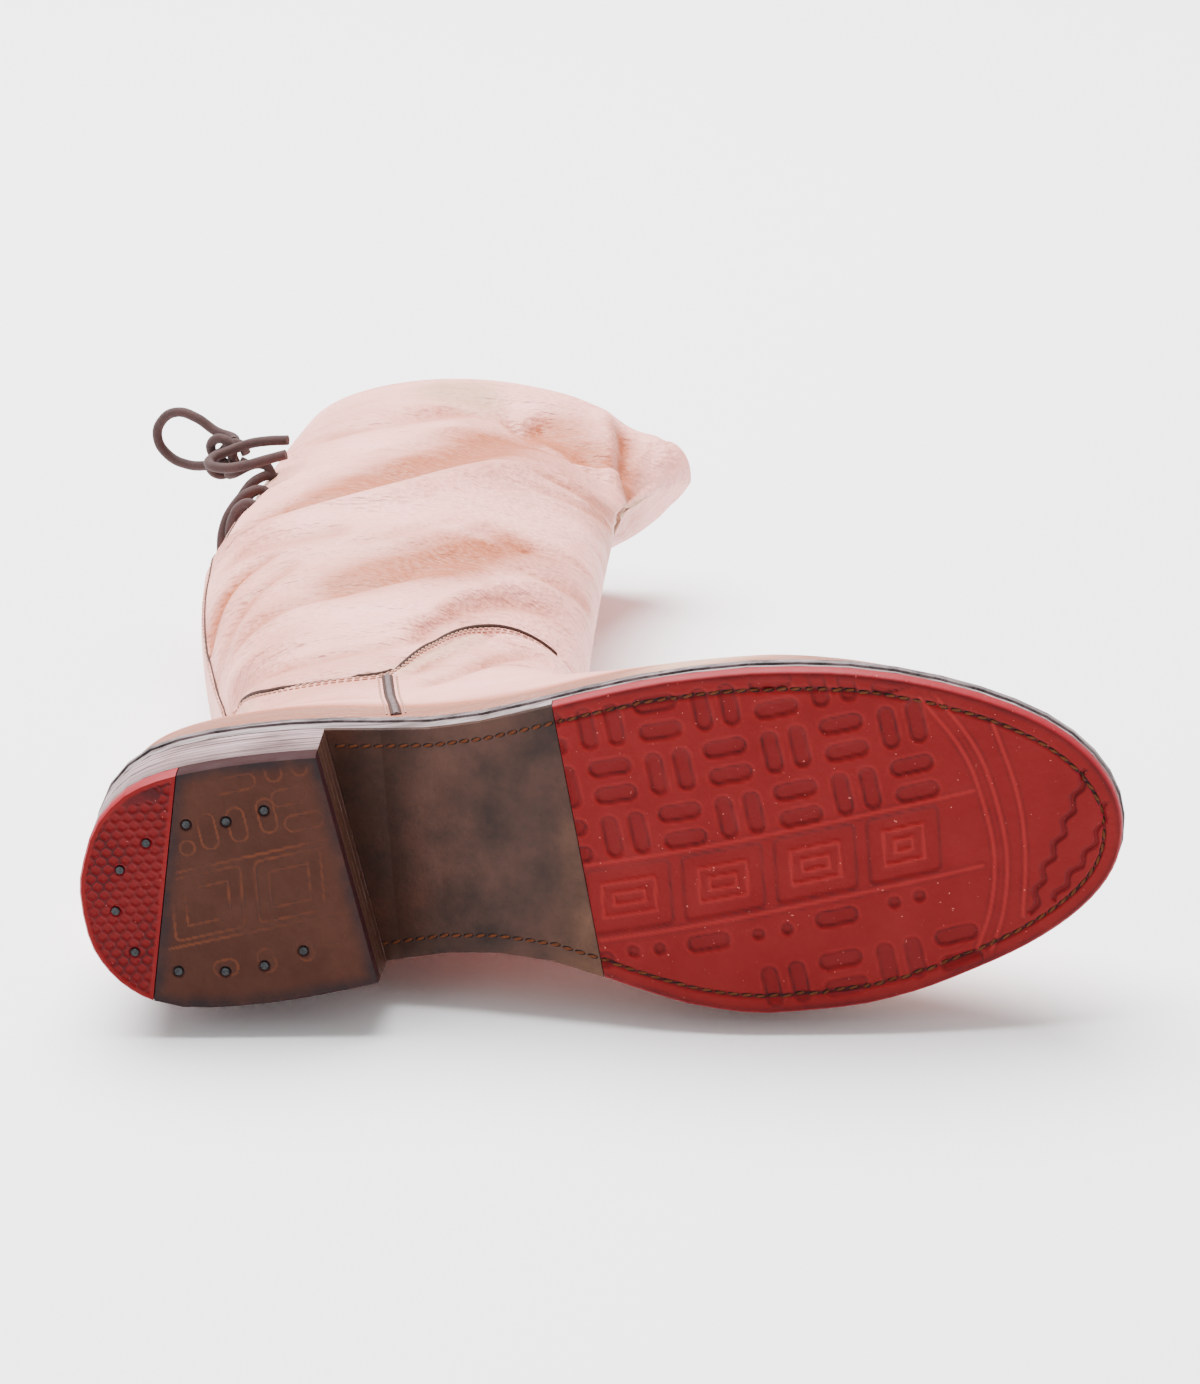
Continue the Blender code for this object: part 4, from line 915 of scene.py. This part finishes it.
def heel_rear_relief(at, off_edge, _):
    """Depth of the honeycomb under the back of the heel."""
    long, wide = HONEYCOMB
    best = np.full(len(at), AWAY)
    for shift in (0.0, 1.0):
        down = at[:, 0] - shift * long / 2
        over = at[:, 1] - shift * wide
        down = np.abs(down - np.round(down / long) * long)
        over = np.abs(over - np.round(over / (2 * wide)) * 2 * wide)
        slant = math.hypot(long / 2, wide)
        across = (down * long / 2 + over * wide) / slant
        best = np.minimum(best, np.maximum(down / (long / 2), across / (slant / 2)))
    cell = smoothstep((0.9 - best) / 0.3)
    near = np.minimum.reduce([np.hypot(*(at - np.array(spot)).T) for spot in RINGS])
    cell *= smoothstep((near - 1.9) / 0.4)
    fade = smoothstep((off_edge - 0.7) / 0.8)
    depth = (CELL_DEEP * cell - RING_HIGH * raised(near - RING_RADIUS, 0.25)) * fade
    # The cells carry painted shade as recesses, and their walls too as edges.
    return depth, cell * fade, (1 - cell) * 0.8 * fade, np.zeros(len(at))


def heel_front_relief(at, off_edge, _):
    """Depth of the raised outlines under the front of the heel."""
    high = np.zeros(len(at))
    for down, over, long, wide in HEEL_MARKS:
        shape = rounded(at, (down, over), long, wide, min(long, wide) / 2 - 0.1, WEAVE_TURN)
        high = np.maximum(high, raised(shape, 0.35))
    for line in HEEL_LINES:
        high = np.maximum(high, raised(from_line(at, np.array(line))[0], 0.45))
    for panel in framed(at, HEEL_LINES, HEEL_PANELS, FRAME_MARGIN, FRAME_CORNER):
        high = np.maximum(high, np.maximum(raised(panel, 0.4), raised(panel + FRAME_BAR, 0.35)))
    high *= smoothstep((off_edge - 1.5) / 1.5)
    edge = np.maximum(smoothstep((4.5 - off_edge) / 4.5), 0.9 * raised(high - 0.4, 0.15, 0.5))
    return -MARK_HIGH * high, 1 - high, edge, high


def make_tread(name, node, rows, columns, relief, material, slot):
    """A plate that stands for a CAD node, its tread side a fine grid raised and sunk by relief."""
    bottom, top = rim(node, True), rim(node, False)
    work = bmesh.new()
    bmesh.ops.create_grid(work, x_segments=rows, y_segments=columns, size=0.5)
    for _ in range(2):
        edges = [edge for edge in work.edges if edge.is_boundary]
        made = bmesh.ops.extrude_edge_only(work, edges=edges)["geom"]
        walls = [part for part in made if isinstance(part, bmesh.types.BMVert)]
        bmesh.ops.translate(work, verts=walls, vec=(0, 0, 1))
    bmesh.ops.contextual_create(work, geom=[edge for edge in work.edges if edge.is_boundary])
    flat = np.array([v.co[:] for v in work.verts])
    share, level = flat[:, :2] + 0.5, flat[:, 2]

    def between(sides):
        near, far = along(sides[0], share[:, 0]), along(sides[1], share[:, 0])
        return near + (far - near) * share[:, 1:]

    low, high = between(bottom), between(top)
    shoulder = low + (high - low) * SHOULDER
    points = np.where(level[:, None] < 0.5, low, np.where(level[:, None] < 1.5, shoulder, high))
    at = points[:, :2] / MM
    sides = np.concatenate([bottom[0], bottom[1][::-1]])[:, :2] / MM
    off_side = np.abs(from_line(at, sides)[0])
    off_edge = np.minimum(off_side, np.abs(from_line(at, sides[[-1, 0]])[0]))
    depth, recess, edge, proud = relief(at, off_edge, off_side)
    for nail in nail_spots():
        pit = np.hypot(*(at - nail / MM).T) - NAIL_PIT
        depth = np.maximum(depth, PIT_DEEP * sunk(pit, 0.4))
        edge = np.maximum(edge, sunk(pit, 1.0))
    treads = level < 0.5
    points[:, 2] += np.where(treads, depth * MM, 0)
    layers = {}
    # On the red rubber, recess and edge give painted shade and raised gives a painted highlight.
    for layer, values in (("recess", recess), ("edge", edge), ("raised", proud)):
        layers[layer] = (work.verts.layers.float.new(layer), np.where(treads, values, 0))
    for k, vert in enumerate(work.verts):
        vert.co = LAID @ Vector(points[k])
        for layer, values in layers.values():
            vert[layer] = values[k]
    bmesh.ops.remove_doubles(work, verts=work.verts[:], dist=2e-6)
    bmesh.ops.recalc_face_normals(work, faces=work.faces[:])
    return shown(name, meshed(name, work, 60), material, slot, node)


def finish_sole():
    """Materials of the leather pieces and nails, and the three tread plates."""
    finish_node("insole", insole_leather())
    finish_node("welt", welt_leather())
    finish_node("outsole", sole_leather())
    steel, stack = nail_steel(), stack_leather()
    for node in frame["nodes"]:
        if node.startswith("heel_lift"):
            finish_node(node, stack)
        if node.startswith("heel_nail"):
            finish_node(node, steel)
    red, brown = red_rubber(), brown_rubber()
    plates = (
        # piece, node, rows, columns, relief, material, slot
        ("forefoot_tread", "forefoot_rubber", 330, 144, forefoot_relief, red, "red_rubber"),
        ("heel_rear_tread", "top_piece_rear", 99, 200, heel_rear_relief, red, "red_rubber"),
        ("heel_front_tread", "top_piece_front", 128, 168, heel_front_relief, brown, "brown_rubber"),
    )
    return [make_tread(*plate) for plate in plates][0]


# Stitches and seams


def walk(path, pitch):
    """Places at equal steps along a path, each with the way it runs there."""
    path = np.array(path)
    gone = lengths_along(path)
    at = (np.arange(int(gone[-1] / pitch)) + 0.5) * pitch
    spots, ahead = places_along(path, gone, at), places_along(path, gone, at + 0.3 * pitch)
    return [(Vector(spot), Vector(on - spot).normalized()) for spot, on in zip(spots, ahead)]


def lump(middle, run, out, size):
    """Where a small lump sits: its place, its way along, its way out and its three sizes."""
    across = out.cross(run).normalized()
    run = across.cross(out)
    turn = Matrix((run * size[0] / 2, across * size[1] / 2, out * size[2] / 2)).transposed().to_4x4()
    return Matrix.Translation(middle) @ turn


def lumps(name, places, material, slot):
    """One joined mesh with a small round lump at each place."""
    work = bmesh.new()
    bmesh.ops.create_uvsphere(work, u_segments=8, v_segments=6, radius=1)
    single = bpy.data.meshes.new(name + "_single")
    work.to_mesh(single)
    work.clear()
    for place in places:
        single.transform(place)
        work.from_mesh(single, face_normals=False, vertex_normals=False)
        single.transform(place.inverted())
    bpy.data.meshes.remove(single)
    return shown(name, meshed(name, work, 80), material, slot)


def stitch_rows(name, paths, tree, pitch, size, material, slot, slant=0.0, sink=0.1):
    """Rows of stitches that follow paths on a skin; size is their share of the pitch, width, height."""
    places = []
    for path in paths:
        for spot, run in walk(path, pitch):
            place, out = tree.find_nearest(spot)[:2]
            run = Matrix.Rotation(slant, 3, out) @ run
            middle = place + out * size[2] * (0.5 - sink)
            places.append(lump(middle, run, out, (size[0] * pitch, size[1], size[2])))
    return lumps(name, places, material, slot)


def tube(name, paths, radius, material, slot):
    """Round edges or cords along paths."""
    curve = round_curve(name, radius, 2)
    for path in paths:
        spline = curve.splines.new("POLY")
        spline.points.add(len(path) - 1)
        for target, point in zip(spline.points, path):
            target.co = (*point, 1.0)
    return shown(name, curve, material, slot)


def side_path(tree, line, sign, count=40):
    """World points where a line of thousandths falls on one side of the skin, lateral being -1."""
    line = on_boot(line)
    gone = lengths_along(line)
    path = []
    for x, z in places_along(line, gone, np.linspace(0, gone[-1], count)):
        hit = tree.ray_cast(LAID @ Vector((x, sign * RAY_START, z)), -sign * MEDIAL_WAY)[0]
        if hit is not None:
            path.append(hit)
    return path


def top_line(tree):
    """The edge of counter and vamp, from the backstay round the front and back again."""
    lateral, medial = side_path(tree, TOP_LINE, -1, 90), side_path(tree, TOP_LINE, 1, 90)
    return lateral + medial[::-1]


def beside(paths, *offs):
    """Copies of the paths moved along the boot."""
    return [[point + TOE_WAY * off for point in path] for path in paths for off in offs]


def make_seams(skin):
    """Stitched top line, beaded side seams and the edges of the backstay."""
    thread = plain_finish("seam_thread", (206, 160, 142), (160, 116, 98), 0.7, 1500, 0.1 * MM)
    dark_edge = plain_finish("cut_edge", (70, 44, 36), (40, 26, 23), 0.7, 700, 0.1 * MM)
    grey_bead = plain_finish("side_bead", (122, 104, 106), (62, 50, 50), 0.7, 500, 0.15 * MM)
    edge_path = top_line(skin)
    rows = [[point - UP_WAY * off for point in edge_path] for off in TOP_ROWS]
    stitch_rows("top_line_stitches", rows, skin, SEAM_STITCH, THREAD, thread, "upper_leather")
    on_skin = [skin.find_nearest(point)[0] for point in edge_path]
    tube("top_line_edge", [on_skin], TOP_EDGE, dark_edge, "upper_leather")
    seams = [side_path(skin, SIDE_SEAM, sign) for sign in (-1, 1)]
    stays = [side_path(skin, BACKSTAY, sign) for sign in (-1, 1)]
    tube("side_seam_beads", seams, BEAD_RADIUS, grey_bead, "upper_leather")
    tube("side_seam_lips", beside(seams, -LIP_OFF, LIP_OFF), LIP_RADIUS, dark_edge, "upper_leather")
    tube("backstay_edges", stays, STAY_EDGE, dark_edge, "upper_leather")
    rows = beside(seams, -SEAM_ROW_OFF, SEAM_ROW_OFF) + beside(stays, -STAY_ROW_OFF)
    stitch_rows("seam_stitches", rows, skin, SEAM_STITCH, THREAD, thread, "upper_leather")


def sole_stitch_path():
    """The stitch line round the sole's tread, from breast to breast."""
    sides = rim("outsole", False)
    loop = np.concatenate([sides[0], sides[1][-2::-1]])
    steps = np.diff(loop[:, :2], axis=0)
    ahead = np.vstack([steps, steps[-1:]]) + np.vstack([steps[:1], steps])
    ahead /= np.linalg.norm(ahead, axis=1)[:, None]
    inward = np.stack([-ahead[:, 1], ahead[:, 0]], 1)
    moved_in = loop.copy()
    moved_in[:, :2] += inward * (STITCH_OFF + 1.0) * MM
    breast = np.interp(moved_in[:, 1], (-0.03, 0.03), BREAST_AT)
    moved_in = moved_in[moved_in[:, 0] > breast]
    moved_in[:, 2] = BELOW_SOLE
    return moved_in


def tread_hits(path, tree):
    """World points straight above a path under the sole."""
    hits = [tree.ray_cast(LAID @ Vector(point), UP_WAY)[0] for point in path]
    return [hit for hit in hits if hit is not None]


def stitch_sole(forefoot):
    """Thread along the channel round the sole, over dark patches of painted shade where its holes are."""
    under = tree_of(forefoot, frame["nodes"]["outsole"])
    path = [tread_hits(sole_stitch_path(), under)]
    thread = plain_finish("sole_thread", (104, 54, 26), (52, 24, 13), 0.9, 1600, 0.15 * MM)
    # Painted shade for the stitch holes.
    dark = plain_finish("stitch_hole_shade", (26, 12, 11), (18, 8, 8), 0.8, 900, 0.1 * MM)
    stitch_rows("sole_stitch_hole_shade", path, under, STITCH, HOLE, dark, "sole_leather", 0, 0.42)
    stitch_rows("sole_stitches", path, under, STITCH, SOLE_THREAD, thread, "sole_leather", 0.2, 0.3)


# Studio


def main_lights():
    """Soft studio light: a wide lamp overhead, a small one beside the camera and a low fill."""
    lamps = (
        # name, place, aim, size, watts
        ("overhead_lamp", (-0.5, 0.7, 2.4), (0, 0, 0), 3.0, 350),
        ("front_lamp", (-1.3, -2.2, 1.3), (0, -0.1, 0.05), 1.4, 8),
        ("fill_lamp", (1.8, -1.6, 0.8), (0, -0.1, 0.05), 1.2, 6),
    )
    for name, place, aim, size, watts in lamps:
        light = bpy.data.lights.new(name, "AREA")
        light.shape = "DISK"
        light.size = size
        light.energy = watts
        lamp = placed(name, light)
        lamp.location = place
        lamp.rotation_euler = (Vector(aim) - Vector(place)).to_track_quat("-Z", "Y").to_euler()
    world = bpy.data.worlds.new("studio")
    world.use_nodes = True
    world.node_tree.nodes["Background"].inputs["Color"].default_value = (1.0, 1.0, 1.0, 1.0)
    world.node_tree.nodes["Background"].inputs["Strength"].default_value = 0.75
    bpy.context.scene.world = world


def make_floor():
    work = bmesh.new()
    bmesh.ops.create_grid(work, x_segments=1, y_segments=1, size=6.0)
    floor = placed("studio_floor", meshed("studio_floor", work))
    finish = Finish("studio_floor_finish", 0.6)
    shade = finish.noise(3, 2, 0.5)
    floor.data.materials.append(finish.done(finish.mix(shade, (253, 252, 253), (250, 249, 250))))


def make_camera():
    look = Vector(CAMERA_LOOK).normalized()
    right = look.cross(Vector((0, 0, 1))).normalized()
    over = right.cross(look)
    cos, sin = math.cos(CAMERA_ROLL), math.sin(CAMERA_ROLL)
    right, over = right * cos + over * sin, over * cos - right * sin
    data = bpy.data.cameras.new("camera")
    data.sensor_fit = "VERTICAL"
    data.sensor_height = SENSOR_HEIGHT
    data.lens = CAMERA_LENS
    data.clip_end = 50
    camera = placed("camera", data)
    turn = Matrix((right, over, -look)).transposed().to_4x4()
    camera.matrix_world = Matrix.Translation(CAMERA_AT) @ turn
    bpy.context.scene.camera = camera


# The whole picture

make_floor()
make_camera()
main_lights()
upper = make_upper(upper_leather())
skin = tree_of(upper)
suede = lace_suede()
make_bow(suede)
make_lacing(suede, skin)
make_seams(skin)
stitch_sole(finish_sole())
